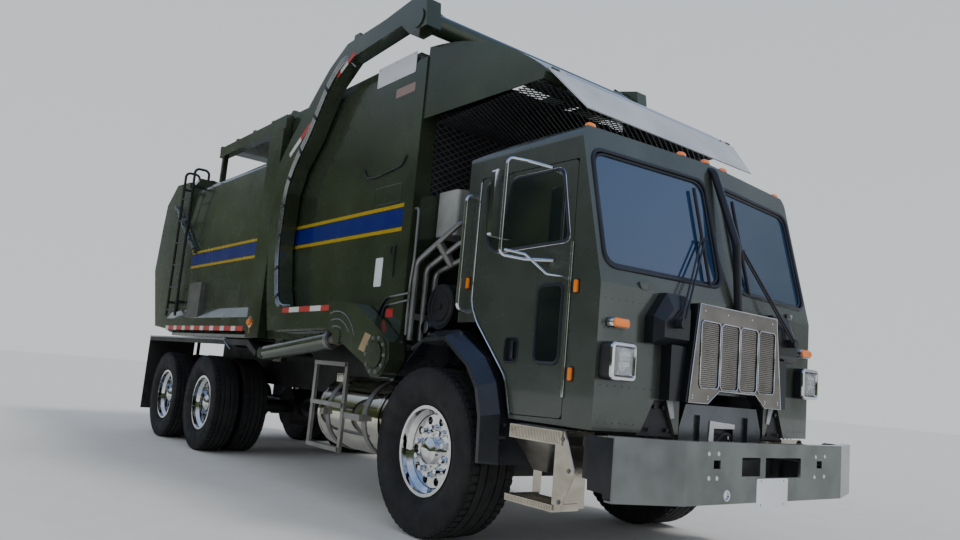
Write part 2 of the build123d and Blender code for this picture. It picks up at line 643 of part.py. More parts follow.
def rear_fenders():
    """Flat fenders over both driven axles, each with a mud flap behind."""
    top, skin = REAR_FENDER_TOP_Z, 18
    end, bend, nose = REAR_FENDER_END_X, REAR_FENDER_FRONT_X, REAR_FENDER_NOSE_X
    outer = SILL_HALF_WIDTH
    edge = [(end, top), (bend, top), (nose, top - 110)]
    sheet = side_plate(edge + [(nose - 8, top - 128), (bend - 6, top - skin), (end, top - skin)],
                       REAR_FENDER_INNER_Y, outer)
    lip = side_plate(edge + [(nose - 20, top - 155), (bend - 20, top - 60), (end, top - 60)], outer - 12, outer)
    flap = block(end - 12, end, REAR_FENDER_INNER_Y + 20, outer, 280, top)
    beam_y = RAIL_OUTER_Y - BODY_BEAM_INSET
    struts = [block(x - 25, x + 25, beam_y, REAR_FENDER_INNER_Y + 20, top - 60, top - 10)
              for x in (bend - 150, TANDEM_MIDDLE_X)]
    foot_x = RAIL_REAR_X + 100
    x0, x1, y0, y1, z0 = foot_x - 25, foot_x + 25, REAR_FENDER_INNER_Y, REAR_FENDER_INNER_Y + 30, RAIL_TOP_Z - 60
    rear_arm = block(x0, x1, RAIL_OUTER_Y, y1, z0, z0 + 50)
    rear_post = block(x0, x1, y0, y1, z0, top - 5)
    return pair(sheet + lip + flap + struts + rear_arm + rear_post)


def cab_steps():
    """Two treads below each door with a bright panel between them, hung from a side plate."""
    outer = STEP_OUTER_Y
    upper = block(860, 1290, outer - 255, outer, 745, 822)
    tread = block(860, 1250, outer - 205, outer, 390, 428)
    riser = end_plate([(outer - 25, 746), (outer - 33, 746), (outer - 199, 560), (outer - 191, 560)], 880, 1235)
    plate = side_plate([(1240, 822), (1300, 822), (1390, 610), (1300, 400), (1240, 400)], outer - 20, outer - 8)
    inner = side_plate([(870, 800), (930, 800), (930, 400), (870, 400)], outer - 215, outer - 203)
    back = block(1230, 1242, outer - 255, outer - 15, 400, 800)
    hanger = block(1180, 1240, RAIL_OUTER_Y, outer - 235, 745, 800)
    return pair(upper + tread + riser + plate + inner + back + hanger)


def fuel_tank():
    """A polished round tank with stepped heads and its filler."""
    barrel = bar((TANK_REAR_X, TANK_Y, TANK_Z), (TANK_FRONT_X, TANK_Y, TANK_Z), TANK_R)
    heads = [bar((x, TANK_Y, TANK_Z), (x + step, TANK_Y, TANK_Z), TANK_R - 22)
             for x, step in ((TANK_REAR_X, -15), (TANK_FRONT_X, 15))]
    cap_x, cap_y = TANK_REAR_X + 105, TANK_Y - 150
    cap = bar((cap_x, cap_y, TANK_Z + TANK_R - 48), (cap_x, cap_y, TANK_Z + TANK_R + 22), 50)
    return [barrel + heads + cap]


def tank_frame():
    """Straps and brackets of the round tank, and the ladder step that stands in front of it."""
    y, z, r = TANK_Y, TANK_Z, TANK_R
    whole = None
    for x in (TANK_REAR_X + 185, TANK_FRONT_X - 200):
        hollow = bar((x - 40, y, z), (x + 40, y, z), r + SEAT)
        ring = bar((x - 30, y, z), (x + 30, y, z), r + STRAP) - hollow
        arm = block(x - 30, x + 30, -RAIL_OUTER_Y - 105, -RAIL_OUTER_Y, z - 90, z + 340) - hollow
        whole = ring + arm if whole is None else whole + ring + arm
    rear_x, front_x = TANK_REAR_X - 5, TANK_REAR_X + 530
    step_y = y - r - 37
    rails = [block(x - 22, x + 22, step_y - 25, step_y, 385, 1095) for x in (rear_x, front_x)]
    rungs = [block(rear_x, front_x, step_y - 40, step_y + 10, z0, z0 + 34) for z0 in (390, 735, 1060)]
    ties = [block(-1600, -1560, step_y - 5, y - r - 4, z - 25, z + 25),
            block(-990, -940, step_y - 20, step_y + 35, z - 25, z + 25),
            block(front_x - 25, -940, step_y - 20, step_y - 5, z - 25, z + 25)]
    return [whole + rails + rungs + ties]


def left_tanks():
    """The square hydraulic oil tank and battery box on the left rail."""
    boxes = []
    for x0, x1, z0, z1 in ((-1750, -1050, 420, 1000), (-2500, -1850, 480, 960)):
        box = fillet(block(x0, x1, 520, 1120, z0, z1).edges().filter_by(Axis.X), 30)
        brackets = [block(x - 40, x + 40, RAIL_OUTER_Y, 530, 800, z1 - 40) for x in (x0 + 100, x1 - 100)]
        boxes.append(box + brackets)
    return boxes


def air_cleaner():
    """The round intake canister behind the cab, on its bracket."""
    x, z = AIR_CLEANER
    can = across(x, z, AIR_CLEANER_OUTER_Y, -560, AIR_CLEANER_R)
    band = across(x, z, -900, -850, AIR_CLEANER_R + 6)
    small = across(x - 120, z - 155, AIR_CLEANER_OUTER_Y - 35, -830, 46)
    bracket = block(x - 100, x + 60, -790, -640, 1215, z - 145)
    foot = block(x - 100, x - 40, -790, -390, 1160, 1215)
    duct = across(x, z, -570, -430, 85)
    post = block(x - 90, x - 50, -425, -385, RAIL_TOP_Z, 1160)
    return [can + band + small + bracket + foot + duct + post]


def engine_pipes():
    """Three bent steel pipes in their clamps behind the cab, and the exhaust stack."""
    wall_x = HOPPER_FRONT_X + SEAT
    whole = None
    for y, knee_z, top_y, top_z in PIPES:
        pipe = bent_tube([(PIPE_X, y, PIPE_FOOT_Z), (PIPE_X, y, knee_z), (PIPE_TOP_X, top_y, top_z),
                          (PIPE_TOP_X, PIPE_RETURN_Y, top_z), (wall_x, PIPE_RETURN_Y, top_z)], PIPE_R, 75)
        whole = pipe if whole is None else whole + pipe
    outer_y, inner_y = PIPES[0][0] - 28, PIPES[-1][0] + 28
    clamp = block(wall_x, PIPE_X + 8, outer_y, inner_y, PIPE_CLAMP_Z, PIPE_CLAMP_Z + 45)
    middles = [Vector((PIPE_X + PIPE_TOP_X) / 2, (y + top_y) / 2, (knee_z + top_z) / 2)
               for y, knee_z, top_y, top_z in (PIPES[0], PIPES[-1])]
    strap = bar(tuple(middles[0]), tuple(middles[1]), PIPE_R + 12)
    whole = whole + clamp + strap
    x, y = STACK_X, STACK_Y
    stack = bent_tube([(x, y, 1150), (x, y, 2700), (x - 100, y, 2860)], STACK_R, 90)
    stay = block(wall_x, x, y - 20, y + 20, 2300, 2330)
    foot = block(x - 80, x + 60, RAIL_OUTER_Y - 50, y + 60, RAIL_TOP_Z, 1160)
    return [whole, stack + stay + foot]


def reservoir():
    """The moulded coolant reservoir on the front of the hopper."""
    front_x, outer_y, inner_y, z0, z1 = RESERVOIR
    tank = block(HOPPER_FRONT_X + SEAT, front_x, outer_y, inner_y, z0, z1)
    tank = fillet(tank.edges().filter_by(Axis.Z), 30)
    middle_x, middle_y = (HOPPER_FRONT_X + front_x) / 2, (outer_y + inner_y) / 2
    return [tank + bar((middle_x, middle_y, z1 - 5), (middle_x, middle_y, z1 + 35), 40)]


# Cab

def glass_point(y, share):
    """A point on the windshield's outer face, at a share of its height."""
    x = GLASS_BOTTOM_X - VEE_SWEEP * abs(y) / CAB_HALF_WIDTH - share * (GLASS_BOTTOM_X - GLASS_TOP_X)
    return (x, y, GLASS_BOTTOM_Z + share * (GLASS_TOP_Z - GLASS_BOTTOM_Z))


def glass_normal(side):
    """The direction that one half of the windshield faces."""
    height = GLASS_TOP_Z - GLASS_BOTTOM_Z
    return Vector(height, side * height * VEE_SWEEP / CAB_HALF_WIDTH, GLASS_BOTTOM_X - GLASS_TOP_X).normalized()


def cab_block(inset):
    """The cab's closed outer form, or the hollow inside it when every face is set in by a wall."""
    arch_points = [(CAB_REAR_X, CAB_ARCH_Z), (CAB_REAR_X, CAB_REAR_ROOF_Z), (500, CAB_ROOF_Z),
                   (900, CAB_ROOF_Z + 14), (1600, CAB_ROOF_Z), (1600, CAB_BOTTOM_Z), (706, CAB_BOTTOM_Z),
                   (636, 1078), (305, CAB_ARCH_Z)]
    nose_points = [(-200, 500), (NOSE_X, 500), (NOSE_X, NOSE_TOP_Z), (GLASS_BOTTOM_X, GLASS_BOTTOM_Z),
                   (GLASS_TOP_X, GLASS_TOP_Z), (GLASS_TOP_X - 40, GLASS_TOP_Z + 170), (-200, GLASS_TOP_Z + 170)]
    half = CAB_HALF_WIDTH - inset
    side = side_face(arch_points, -CAB_HALF_WIDTH)
    nose = side_face(nose_points, 0)
    if inset:
        side = offset(side, -inset, kind=Kind.INTERSECTION).face()
        nose = offset(nose, -inset, kind=Kind.INTERSECTION).face()
    body = extrude(side, 2 * CAB_HALF_WIDTH, dir=(0, 1, 0))
    sweep_length = math.hypot(VEE_SWEEP, CAB_HALF_WIDTH)
    halves = [extrude(nose, sweep_length, dir=(-VEE_SWEEP / sweep_length, s * CAB_HALF_WIDTH / sweep_length, 0))
              for s in (-1, 1)]
    top = CAB_ROOF_Z + 20 - inset
    face = end_face([(-half, 400), (half, 400), (half, top), (-half, top)], -200)
    face = face.fillet_2d(CAB_CORNER_R - inset / 2, [v for v in face.vertices() if v.Z > CAB_ARCH_Z])
    return (halves[0] + halves[1]) & body & extrude(face, 2000, dir=(1, 0, 0))


def front_opening():
    """The opening in the cab's nose and floor that the radiator looks through."""
    return block(1250, 1700, -TUNNEL_HALF_WIDTH, TUNNEL_HALF_WIDTH, 700, NOSE_OPENING_Z)


def tilt_eyes():
    """The two eyes under the cab's floor that turn on the frame's tilt pins."""
    x, z = TILT_PIVOT
    y0, y1 = RAIL_OUTER_Y + 15, RAIL_OUTER_Y + 55
    eye = across(x, z, y0, y1, TILT_EYE_R) + block(x - TILT_EYE_R, x + TILT_EYE_R, y0, y1, z, CAB_BOTTOM_Z + 5)
    return pair(eye - across(x, z, y0 - 1, y1 + 1, TILT_PIN_R + RUNNING))


def cab_shell():
    """The cab's walls with windshield, door and rear openings cut, and the eyes that it tilts on."""
    skin = cab_block(0)
    shell = skin - cab_block(CAB_WALL)
    cuts = [windshield_face(s, 0, 120) for s in (-1, 1)]
    door_plane = side_face(DOOR_OUTLINE, CAB_HALF_WIDTH - CAB_WALL - 70)
    opening = offset(door_plane, DOOR_GAP, kind=Kind.INTERSECTION).face()
    cuts += pair(extrude(opening, 200, dir=(0, 1, 0)))
    cuts.append(block(0, TUNNEL_FRONT_X, -TUNNEL_HALF_WIDTH, TUNNEL_HALF_WIDTH, 700, TUNNEL_TOP_Z))
    cuts += [block(0, 200, y - 230, y + 230, 1900, 2300) for y in (-560, 560)]
    cuts.append(front_opening())
    recess = end_plate([(550, 1030), (645, 1030), (755, 820), (460, 820)], 1200, 1700) & skin
    recess = recess - Pos(-RECESS_DEPTH, 0, 0) * skin
    cuts += pair(recess)
    return [shell - cuts + tilt_eyes()]


def engine_cover():
    """The tunnel inside the cab that covers the engine."""
    half, wall = TUNNEL_HALF_WIDTH, TUNNEL_WALL
    outer = block(CAB_REAR_X, TUNNEL_FRONT_X + wall, -half - wall, half + wall, CAB_BOTTOM_Z, TUNNEL_TOP_Z + wall)
    tunnel = outer - block(0, TUNNEL_FRONT_X, -half, half, 700, TUNNEL_TOP_Z)
    return [(tunnel & cab_block(CAB_WALL)) - front_opening()]


def windshield_face(side, shrink, depth):
    """One pane's outline as a solid that reaches depth through the windshield's face."""
    low, high = 0.035, 0.965
    corners = [(WINDSHIELD_INNER_Y, low), (WINDSHIELD_OUTER_BOTTOM_Y, low), (WINDSHIELD_OUTER_TOP_Y, high),
               (WINDSHIELD_INNER_Y, high)]
    points = [glass_point(side * y, share) for y, share in corners]
    face = make_face(Polyline(points, close=True)).face()
    face = face.fillet_2d(WINDSHIELD_CORNER_R, face.vertices())
    if shrink:
        face = offset(face, -shrink).face()
    return extrude(face, depth, both=True)


def windshield():
    """Two flat panes that meet in a vee, set into the cab's front."""
    panes = []
    for side in (-1, 1):
        inward = glass_normal(side) * -GLASS_SET_IN
        panes.append(Pos(inward.X, inward.Y, inward.Z) * windshield_face(side, SEAT, GLASS_THICKNESS / 2))
    return panes


def panel_outline(middle_y, grow):
    """One grille panel's outline with its four corners cut off, grown by a rim."""
    half = GRILLE_PANEL_PITCH / 2 - GRILLE_RIB + grow
    low, high, cut = GRILLE_PANEL_BOTTOM_Z - grow, GRILLE_PANEL_TOP_Z + grow, 16
    corners = [(-half, low + cut), (-half + cut, low), (half - cut, low), (half, low + cut), (half, high - cut),
               (half - cut, high), (-half + cut, high), (-half, high - cut)]
    return [(middle_y + y, z) for y, z in corners]


def cowl(side):
    """One black bevelled box beside the grille, which the wiper turns on."""
    base = end_face([(side * y, z) for y, z in COWL_BASE], COWL_BEVEL_X)
    face = end_face([(side * y, z) for y, z in COWL_FACE], COWL_FACE_X)
    return extrude(base, 140, dir=(-1, 0, 0)) + loft([base, face], ruled=True)


def grille():
    """The radiator housing on the cab's nose, its four sunk panels in bright rims, and the wiper cowls."""
    x0, x1 = GRILLE_BACK_X, GRILLE_FACE_X
    housing = end_plate([(-505, 1032), (505, 1032), (425, 1612), (-425, 1612)], x0, x1 - 4)
    wings = [block(x0 - 60, NOSE_X + 12, s * 470, s * 610, 1032, 1350) for s in (-1, 1)]
    frame = end_plate(GRILLE_FRAME, x1 - 14, x1)
    notch = end_plate([(-318, 1000), (-198, 1104), (198, 1104), (318, 1000)], x0 - 5, x1 + 5)
    rims, sunk = [], []
    for i in range(4):
        middle_y = GRILLE_PANEL_PITCH * (i - 1.5)
        rims.append(end_plate(panel_outline(middle_y, 5), x1 - 4, x1 + 4))
        sunk.append(end_plate(panel_outline(middle_y, 0), x1 - 6, x1 + 5))
    return [housing + frame + rims + wings + [cowl(s) for s in (-1, 1)] - sunk - notch - cab_block(0)]


def cab_lamps():
    """Headlamps, turn signals, roof markers and side markers."""
    lamps = []
    for side in (-1, 1):
        y = side * LAMP_Y
        bezel = fillet(block(1400, 1490, y - 105, y + 105, 1116, 1326).edges().filter_by(Axis.X), 38)
        sunk = fillet(block(1468, 1500, y - 82, y + 82, 1139, 1303).edges().filter_by(Axis.X), 20)
        lens = block(1460, 1484, y - 78, y + 78, 1143, 1299)
        turn = fillet(block(1400, 1458, y - 72, y + 72, 1402, 1462).edges().filter_by(Axis.X), 26)
        lamps += [bezel - sunk + lens, turn]
    for y in (-MARKER_Y, -229, 0, 229, MARKER_Y):
        x = MARKER_X - MARKER_SWEEP * abs(y) / MARKER_Y
        lamps.append(bar((x, y, CAB_ROOF_Z - 45), (x, y, CAB_ROOF_Z + 38), 30))
    for side in (-1, 1):
        for x, z in ((190, 1687), (1213, 1629), (1213, 1131)):
            y = side * CAB_HALF_WIDTH
            lamps.append(block(x - 18, x + 18, y, y + side * 18, z - 42, z + 42))
    keep = cab_block(0)
    return [lamp - keep for lamp in lamps]


def wipers():
    """Twin wiper rods that rise from each cowl to a blade parked on the middle of the glass."""
    pieces = []
    for side in (-1, 1):
        pivot_x, pivot_y, pivot_z = WIPER_PIVOT
        tip_x, tip_y, tip_z = WIPER_TIP
        whole = bar((COWL_FACE_X + SEAT, side * pivot_y, pivot_z), (pivot_x + 14, side * pivot_y, pivot_z), 28)
        for shift in (-17, 17):
            foot, tip = (pivot_x, side * (pivot_y + shift), pivot_z), (tip_x, side * (tip_y + shift), tip_z)
            whole = whole + bar(foot, tip, 6.5)
        whole = whole + bar((tip_x, side * (tip_y - 24), tip_z), (tip_x, side * (tip_y + 24), tip_z), 10)
        out = glass_normal(side)
        low, high = [Vector(*glass_point(side * tip_y, share)) for share in WIPER_BLADE_SHARES]
        back = [point - out * (GLASS_SET_IN - GLASS_THICKNESS / 2 - SEAT) for point in (low, high)]
        lip = side_plate([(p.X, p.Z) for p in (low + out * 12, high + out * 12, back[1], back[0])],
                         side * (tip_y - 3), side * (tip_y + 3))
        blade = bar(tuple(low + out * 12), tuple(high + out * 12), 11)
        pieces.append(whole + blade + lip - cab_block(0))
    return pieces


def cab_trim():
    """The guard tube in front of the windshield and the grab handles behind the doors."""
    keep = cab_block(0)
    guard = bent_tube([(GLASS_TOP_X - 52, 0, GLASS_TOP_Z + 66), (GLASS_TOP_X + 8, 0, GLASS_TOP_Z + 66),
                       (1500, 0, 2040), (1532, 0, GRILLE_FRAME[-1][1] + 2.5)], GUARD_TUBE_R, 60)
    y0, y1 = CAB_HALF_WIDTH, CAB_HALF_WIDTH + 64
    handle = bent_tube([(170, y0, 2290), (170, y1, 2290), (170, y1, 1500), (170, y0, 1500)], 14, 45)
    return [guard - keep] + pair(handle - keep)


def cab_inside():
    """The dashboard, the steering column with its wheel, and two seats."""
    reach = CAB_HALF_WIDTH - CAB_WALL - 120
    dash = side_plate([(1290, 1600), (1400, 1640), (1330, 1700), (1160, 1700), (1120, 1620)], -reach, reach)
    dash = dash & cab_block(CAB_WALL + SEAT)
    column = bar((1180, 620, 1560), (1010, 620, 1790), 28)
    ring = Plane(origin=(1005, 620, 1797), z_dir=(-170, 0, 230)) * Torus(205, 15)
    spokes = [bar((1005, 620, 1797), (1005 + 0.80 * 200 * math.cos(a), 620 + 200 * math.sin(a),
                                      1797 + 0.59 * 200 * math.cos(a)), 11) for a in (0.5, 2.6, 4.71)]
    pieces = [dash + column + ring + spokes]
    for side in (-1, 1):
        y = side * SEAT_Y
        base = side_plate([(240, 1300), (700, 1000), (700, 1600), (240, 1600)], y - 180, y + 180)
        base = base & cab_block(CAB_WALL + SEAT)
        cushion = block(300, 760, y - 220, y + 220, 1600, 1720)
        back = side_plate([(230, 1700), (330, 1700), (300, 2330), (210, 2330)], y - 210, y + 210)
        pieces.append(base + cushion + back)
    return pieces


def door(side):
    """A cab door, hollow-walled panel with its window, lower window and handle recess, and its piano hinge."""
    y0, y1 = CAB_HALF_WIDTH - CAB_WALL, CAB_HALF_WIDTH
    panel = side_plate(DOOR_OUTLINE, y0, y1, 28)
    window = side_plate(DOOR_WINDOW, y0 - 20, y1 + 20, WINDOW_CORNER_R)
    x0, x1, z0, z1 = DOOR_LOWER_WINDOW
    lower = fillet(block(x0, x1, y0 - 20, y1 + 20, z0, z1).edges().filter_by(Axis.Y), LOWER_WINDOW_CORNER_R)
    x0, x1, z0, z1 = DOOR_HANDLE_RECESS
    recess = fillet(block(x0, x1, y1 - 25, y1 + 20, z0, z1).edges().filter_by(Axis.Y), 25)
    middle_x = (x0 + x1) / 2
    lever = block(middle_x - 14, middle_x + 14, y1 - 26, y1 - 8, z0 + 20, z1 - 20)
    hinge = bar((HINGE_X, HINGE_Y, HINGE_BOTTOM_Z), (HINGE_X, HINGE_Y, HINGE_TOP_Z), HINGE_R)
    leaf = block(HINGE_X - 45, HINGE_X - 2, y1, y1 + HINGE_LEAF, HINGE_BOTTOM_Z, HINGE_TOP_Z)
    whole = panel - window - lower - recess + lever + hinge + leaf
    return [whole if side > 0 else mirrored(whole)]


def door_glass(side):
    """The panes of one door."""
    y = CAB_HALF_WIDTH - 26
    window = offset(side_face(DOOR_WINDOW, y, WINDOW_CORNER_R), -SEAT).face()
    upper = extrude(window, 6, dir=(0, 1, 0))
    x0, x1, z0, z1 = DOOR_LOWER_WINDOW
    lower = block(x0 + SEAT, x1 - SEAT, y, y + 6, z0 + SEAT, z1 - SEAT)
    lower = fillet(lower.edges().filter_by(Axis.Y), LOWER_WINDOW_CORNER_R - SEAT)
    panes = [upper, lower]
    return panes if side > 0 else [mirrored(pane) for pane in panes]


def mirror_set(side):
    """The mirror head on its bent tube, fastened to the door above and below the window."""
    y = CAB_HALF_WIDTH
    tube = bent_tube([(930, y, 2372), (840, y + 120, 2400), (800, y + 250, 2400), (800, y + 250, 1800),
                      (860, y + 120, 1790), (1000, y, 1790)], 11, 40)
    head = fillet(block(765, 800, y + 165, y + 335, 1900, 2310).edges().filter_by(Axis.X), 20)
    brace = bent_tube([(830, y + 240, 1830), (960, y + 190, 1800), (1060, y + 100, 1690), (1095, y, 1690)], 8, 30)
    whole = (tube + head + brace) & block(600, 1300, y + SEAT, y + 500, 1500, 2600)
    return [whole if side > 0 else mirrored(whole)]


# Hopper and packer body

def hopper():
    """The open-topped hopper: side walls, floor, front wall and corner posts."""
    x0, x1 = HOPPER_REAR_X, HOPPER_FRONT_X
    half, inner = HOPPER_HALF_WIDTH, HOPPER_HALF_WIDTH - HOPPER_WALL
    box = block(x0, x1, -half, half, HOPPER_BOTTOM_Z, HOPPER_TOP_Z)
    void = block(x0 - 1, x1 - HOPPER_WALL, -inner, inner, HOPPER_BOTTOM_Z + FLOOR, HOPPER_TOP_Z + 1)
    window = block(x1 - HOPPER_WALL - 1, x1 + 1, -inner + MESH_EDGE, inner - MESH_EDGE, MESH_BOTTOM_Z, MESH_TOP_Z)
    posts = [block(x1 - POST_DEPTH, x1, s * half, s * (half + POST_PROUD), HOPPER_BOTTOM_Z, HOPPER_TOP_Z)
             for s in (-1, 1)]
    return [box - void - window + posts]


def hopper_mesh():
    """The mesh guard in the opening of the hopper's front wall."""
    x = HOPPER_FRONT_X - HOPPER_WALL / 2
    half = HOPPER_HALF_WIDTH - HOPPER_WALL - MESH_EDGE - SEAT
    return [block(x - MESH_THICKNESS / 2, x + MESH_THICKNESS / 2, -half, half, MESH_BOTTOM_Z + SEAT,
                  MESH_TOP_Z - SEAT)]


def canopy_outline(drop):
    """The canopy's side outline, with its top and front set in by a wall."""
    back, front, low = HOPPER_FRONT_X, CANOPY_FRONT_X, CANOPY_FRONT_Z - CANOPY_FRONT_DROP
    crown_x, crown_z = CANOPY_CROWN
    rear_z, front_z = CANOPY_REAR_Z - drop, CANOPY_FRONT_Z - drop
    top = ThreePointArc((back, 0, rear_z), (crown_x, 0, crown_z - drop), (front, 0, front_z))
    face = Line((front, 0, front_z), (front - 10, 0, low))
    under = Line((front - 10, 0, low), (back, 0, CANOPY_BOTTOM_Z))
    rear = Line((back, 0, CANOPY_BOTTOM_Z), (back, 0, rear_z))
    return make_face([top, face, under, rear]).face()


def canopy():
    """The curved hood that reaches from the hopper over the cab, with the knuckles of its flap."""
    wall = CANOPY_WALL
    solid = extrude(canopy_outline(0), 1500, dir=(0, 1, 0), both=True)
    void = extrude(canopy_outline(wall), 1500, dir=(0, 1, 0), both=True)
    x0, x1, y0, y1 = HOPPER_FRONT_X, CANOPY_FRONT_X, HOPPER_HALF_WIDTH, CANOPY_FRONT_HALF_WIDTH
    low, high = CANOPY_BOTTOM_Z - 100, CANOPY_REAR_Z + 100
    prism = plan_plate([(x0, -y0), (x0, y0), (x1, y1), (x1, -y1)], low, high)
    inner_y0, inner_y1 = y0 - wall, y1 - wall
    hollow = [(x0 - 5, -inner_y0), (x0 - 5, inner_y0), (x1 + 5, inner_y1), (x1 + 5, -inner_y1)]
    hollow = plan_plate(hollow, low, high)
    brace = block(x1 - 30, x1 + 5, 4 - y1, y1 - 4, CANOPY_FRONT_Z - CANOPY_FRONT_DROP, CANOPY_FRONT_Z + 20)
    shell = (solid & prism) - (void & hollow) + (brace & solid)
    x, z = FLAP_HINGE
    inner_y, split_y, outer_y = FLAP_KNUCKLES_Y
    knuckle_y = split_y + RUNNING
    half = across(x, z, knuckle_y, outer_y, FLAP_HINGE_R) + across(x, z, inner_y, outer_y, FLAP_HINGE_PIN_R)
    half = half + block(x1 - 12, x, knuckle_y, outer_y, z - FLAP_HINGE_R, z - 3)
    return [shell + pair(half)]


def canopy_flap():
    """The sloping flap hinged to the canopy's front edge, which folds up to let the cab tilt."""
    hinge = Vector(FLAP_HINGE[0], 0, FLAP_HINGE[1])
    front = Vector(FLAP_FRONT_X, 0, FLAP_FRONT_Z)
    along = (front - hinge).normalized()
    across_it = Vector(-along.Z, 0, along.X) * (FLAP_THICKNESS / 2)
    rear = hinge + along * (FLAP_HINGE_R + 8)
    corners = [rear + across_it, front + across_it, front - across_it, rear - across_it]
    sheet = side_plate([(p.X, p.Z) for p in corners], -CANOPY_FRONT_HALF_WIDTH, CANOPY_FRONT_HALF_WIDTH)
    wide, narrow, x0, x1 = CANOPY_FRONT_HALF_WIDTH, FLAP_FRONT_HALF_WIDTH, rear.X, FLAP_FRONT_X
    plan = [(x0 - 20, -wide), (x0 - 20, wide), (x0, wide), (x1 + 10, narrow), (x1 + 10, -narrow), (x0, -wide)]
    sheet = sheet & plan_plate(plan, FLAP_FRONT_Z - 100, CANOPY_FRONT_Z + 100)
    leaf = [hinge + across_it, hinge + across_it + along * 60, hinge - across_it + along * 60, hinge - across_it]
    y0, y1 = FLAP_KNUCKLES_Y[0], FLAP_KNUCKLES_Y[1] - RUNNING
    half = side_plate([(p.X, p.Z) for p in leaf], y0, y1) + across(*FLAP_HINGE, y0, y1, FLAP_HINGE_R)
    half = half - across(*FLAP_HINGE, y0 - 1, y1 + 1, FLAP_HINGE_PIN_R + RUNNING)
    return [sheet + pair(half)]


def body_section(inset):
    """The packer body's section: bowed sides and a crowned roof, as a face at the body's rear."""
    half = BODY_HALF_WIDTH - inset
    bottom, top = HOPPER_BOTTOM_Z + inset, BODY_ROOF_Z - inset
    x = BODY_REAR_X
    right = ThreePointArc((x, half - 40, bottom), (x, half, (bottom + top) / 2), (x, half - 45, top - 80))
    shoulder = ThreePointArc((x, half - 45, top - 80), (x, half - 75, top - 28), (x, half - 130, top))
    roof = ThreePointArc((x, half - 130, top), (x, 0, top + 30), (x, -half + 130, top))
    left_shoulder = ThreePointArc((x, -half + 130, top), (x, -half + 75, top - 28), (x, -half + 45, top - 80))
    left = ThreePointArc((x, -half + 45, top - 80), (x, -half, (bottom + top) / 2), (x, -half + 40, bottom))
    floor = Line((x, -half + 40, bottom), (x, half - 40, bottom))
    return make_face([right, shoulder, roof, left_shoulder, left, floor]).face()


def body_sill():
    """The sloping sill along the packer body's right-hand foot."""
    return end_plate([(BODY_HALF_WIDTH - 70, HOPPER_BOTTOM_Z + 20), (SILL_HALF_WIDTH, HOPPER_BOTTOM_Z + 70),
                      (SILL_HALF_WIDTH, SILL_EDGE_Z), (BODY_HALF_WIDTH - 40, SILL_TOP_Z),
                      (BODY_HALF_WIDTH - 70, SILL_TOP_Z)], BODY_REAR_X, FRAME_POST_FRONT_X - FRAME_POST_DEPTH)


def rear_ring():
    """The solid outline of the frame round the packer body's rear opening."""
    half, top = BODY_HALF_WIDTH, REAR_RING_TOP_Z
    return end_plate([(-half, HOPPER_BOTTOM_Z + 40), (half, HOPPER_BOTTOM_Z + 40), (half, BODY_ROOF_Z),
                      (half - 90, top), (90 - half, top), (-half, BODY_ROOF_Z)], BODY_REAR_X,
                     BODY_REAR_X + REAR_RING_DEPTH)


def packer_body():
    """The bowed shell behind the hopper, open at the rear, with its frame post, sills and rails."""
    half, x0, x1 = BODY_HALF_WIDTH, BODY_REAR_X, FRAME_POST_FRONT_X
    floor_z = HOPPER_BOTTOM_Z + FLOOR
    tube = extrude(body_section(0), x1 - x0, dir=(1, 0, 0))
    tube = tube - extrude(body_section(BODY_WALL), x1 - x0, dir=(1, 0, 0))
    sill, top, back = SILL_HALF_WIDTH, FRAME_POST_TOP_Z, x1 - FRAME_POST_DEPTH
    post = end_plate([(-sill, HOPPER_BOTTOM_Z), (sill, HOPPER_BOTTOM_Z), (sill, top - 30), (sill - 60, top),
                      (60 - sill, top), (-sill, top - 30)], back, x1)
    post = post - block(back - 70, x1 + 10, 70 - half, half - 70, floor_z, POST_OPENING_TOP_Z)
    ear = block(back, x1, DOOR_RAIL_Y + DOOR_RAIL_WIDTH + 15, sill - 18, top - 15, POST_EAR_TOP_Z)
    ring = rear_ring() - block(x0 - 1, x0 + REAR_RING_DEPTH + 1, 70 - half, half - 70, floor_z, BODY_ROOF_Z - 50)
    pins = [across(*TAIL_CYL_BODY_PIN, s * (half - 20), s * (TAIL_CYL_Y + 32), CYL_PIN_R) for s in (-1, 1)]
    return [tube + post + pair(ear) + pair(body_sill()) + ring + door_rails() + tail_ears() + pins]


def door_rails():
    """The two rails that the top door slides on, over the hopper and back over the body."""
    x0, x1, y0, y1 = DOOR_RAIL_REAR_X, DOOR_RAIL_FRONT_X, DOOR_RAIL_Y, DOOR_RAIL_Y + DOOR_RAIL_WIDTH
    rail = block(x0, x1, y0, y1, HOPPER_TOP_Z, DOOR_RAIL_TOP_Z)
    groove = block(x0 - 1, x1 + 1, y0 - 1, y0 + 40, HOPPER_TOP_Z + DOOR_RAIL_LIP, DOOR_RAIL_TOP_Z - DOOR_RAIL_LIP)
    leg = block(x0 + 10, x0 + 70, y0, y0 + 60, BODY_ROOF_Z - 6, HOPPER_TOP_Z)
    return pair(rail - groove + leg)


def top_door():
    """The sliding door that closes the hopper, shown slid back over the body."""
    x0 = DOOR_RAIL_REAR_X - 40
    half = DOOR_RAIL_Y + DOOR_RAIL_WIDTH - TOP_DOOR_INSET
    low = DOOR_RAIL_TOP_Z + SEAT
    high = low + TOP_DOOR_THICKNESS
    ribs = []
    for i in range(5):
        rib_x = x0 + i * (TOP_DOOR_LENGTH - 60) / 4
        ribs.append(block(rib_x, rib_x + 60, -half, half, high, high + TOP_DOOR_RIB))
    return [block(x0, x0 + TOP_DOOR_LENGTH, -half, half, low, high) + ribs]


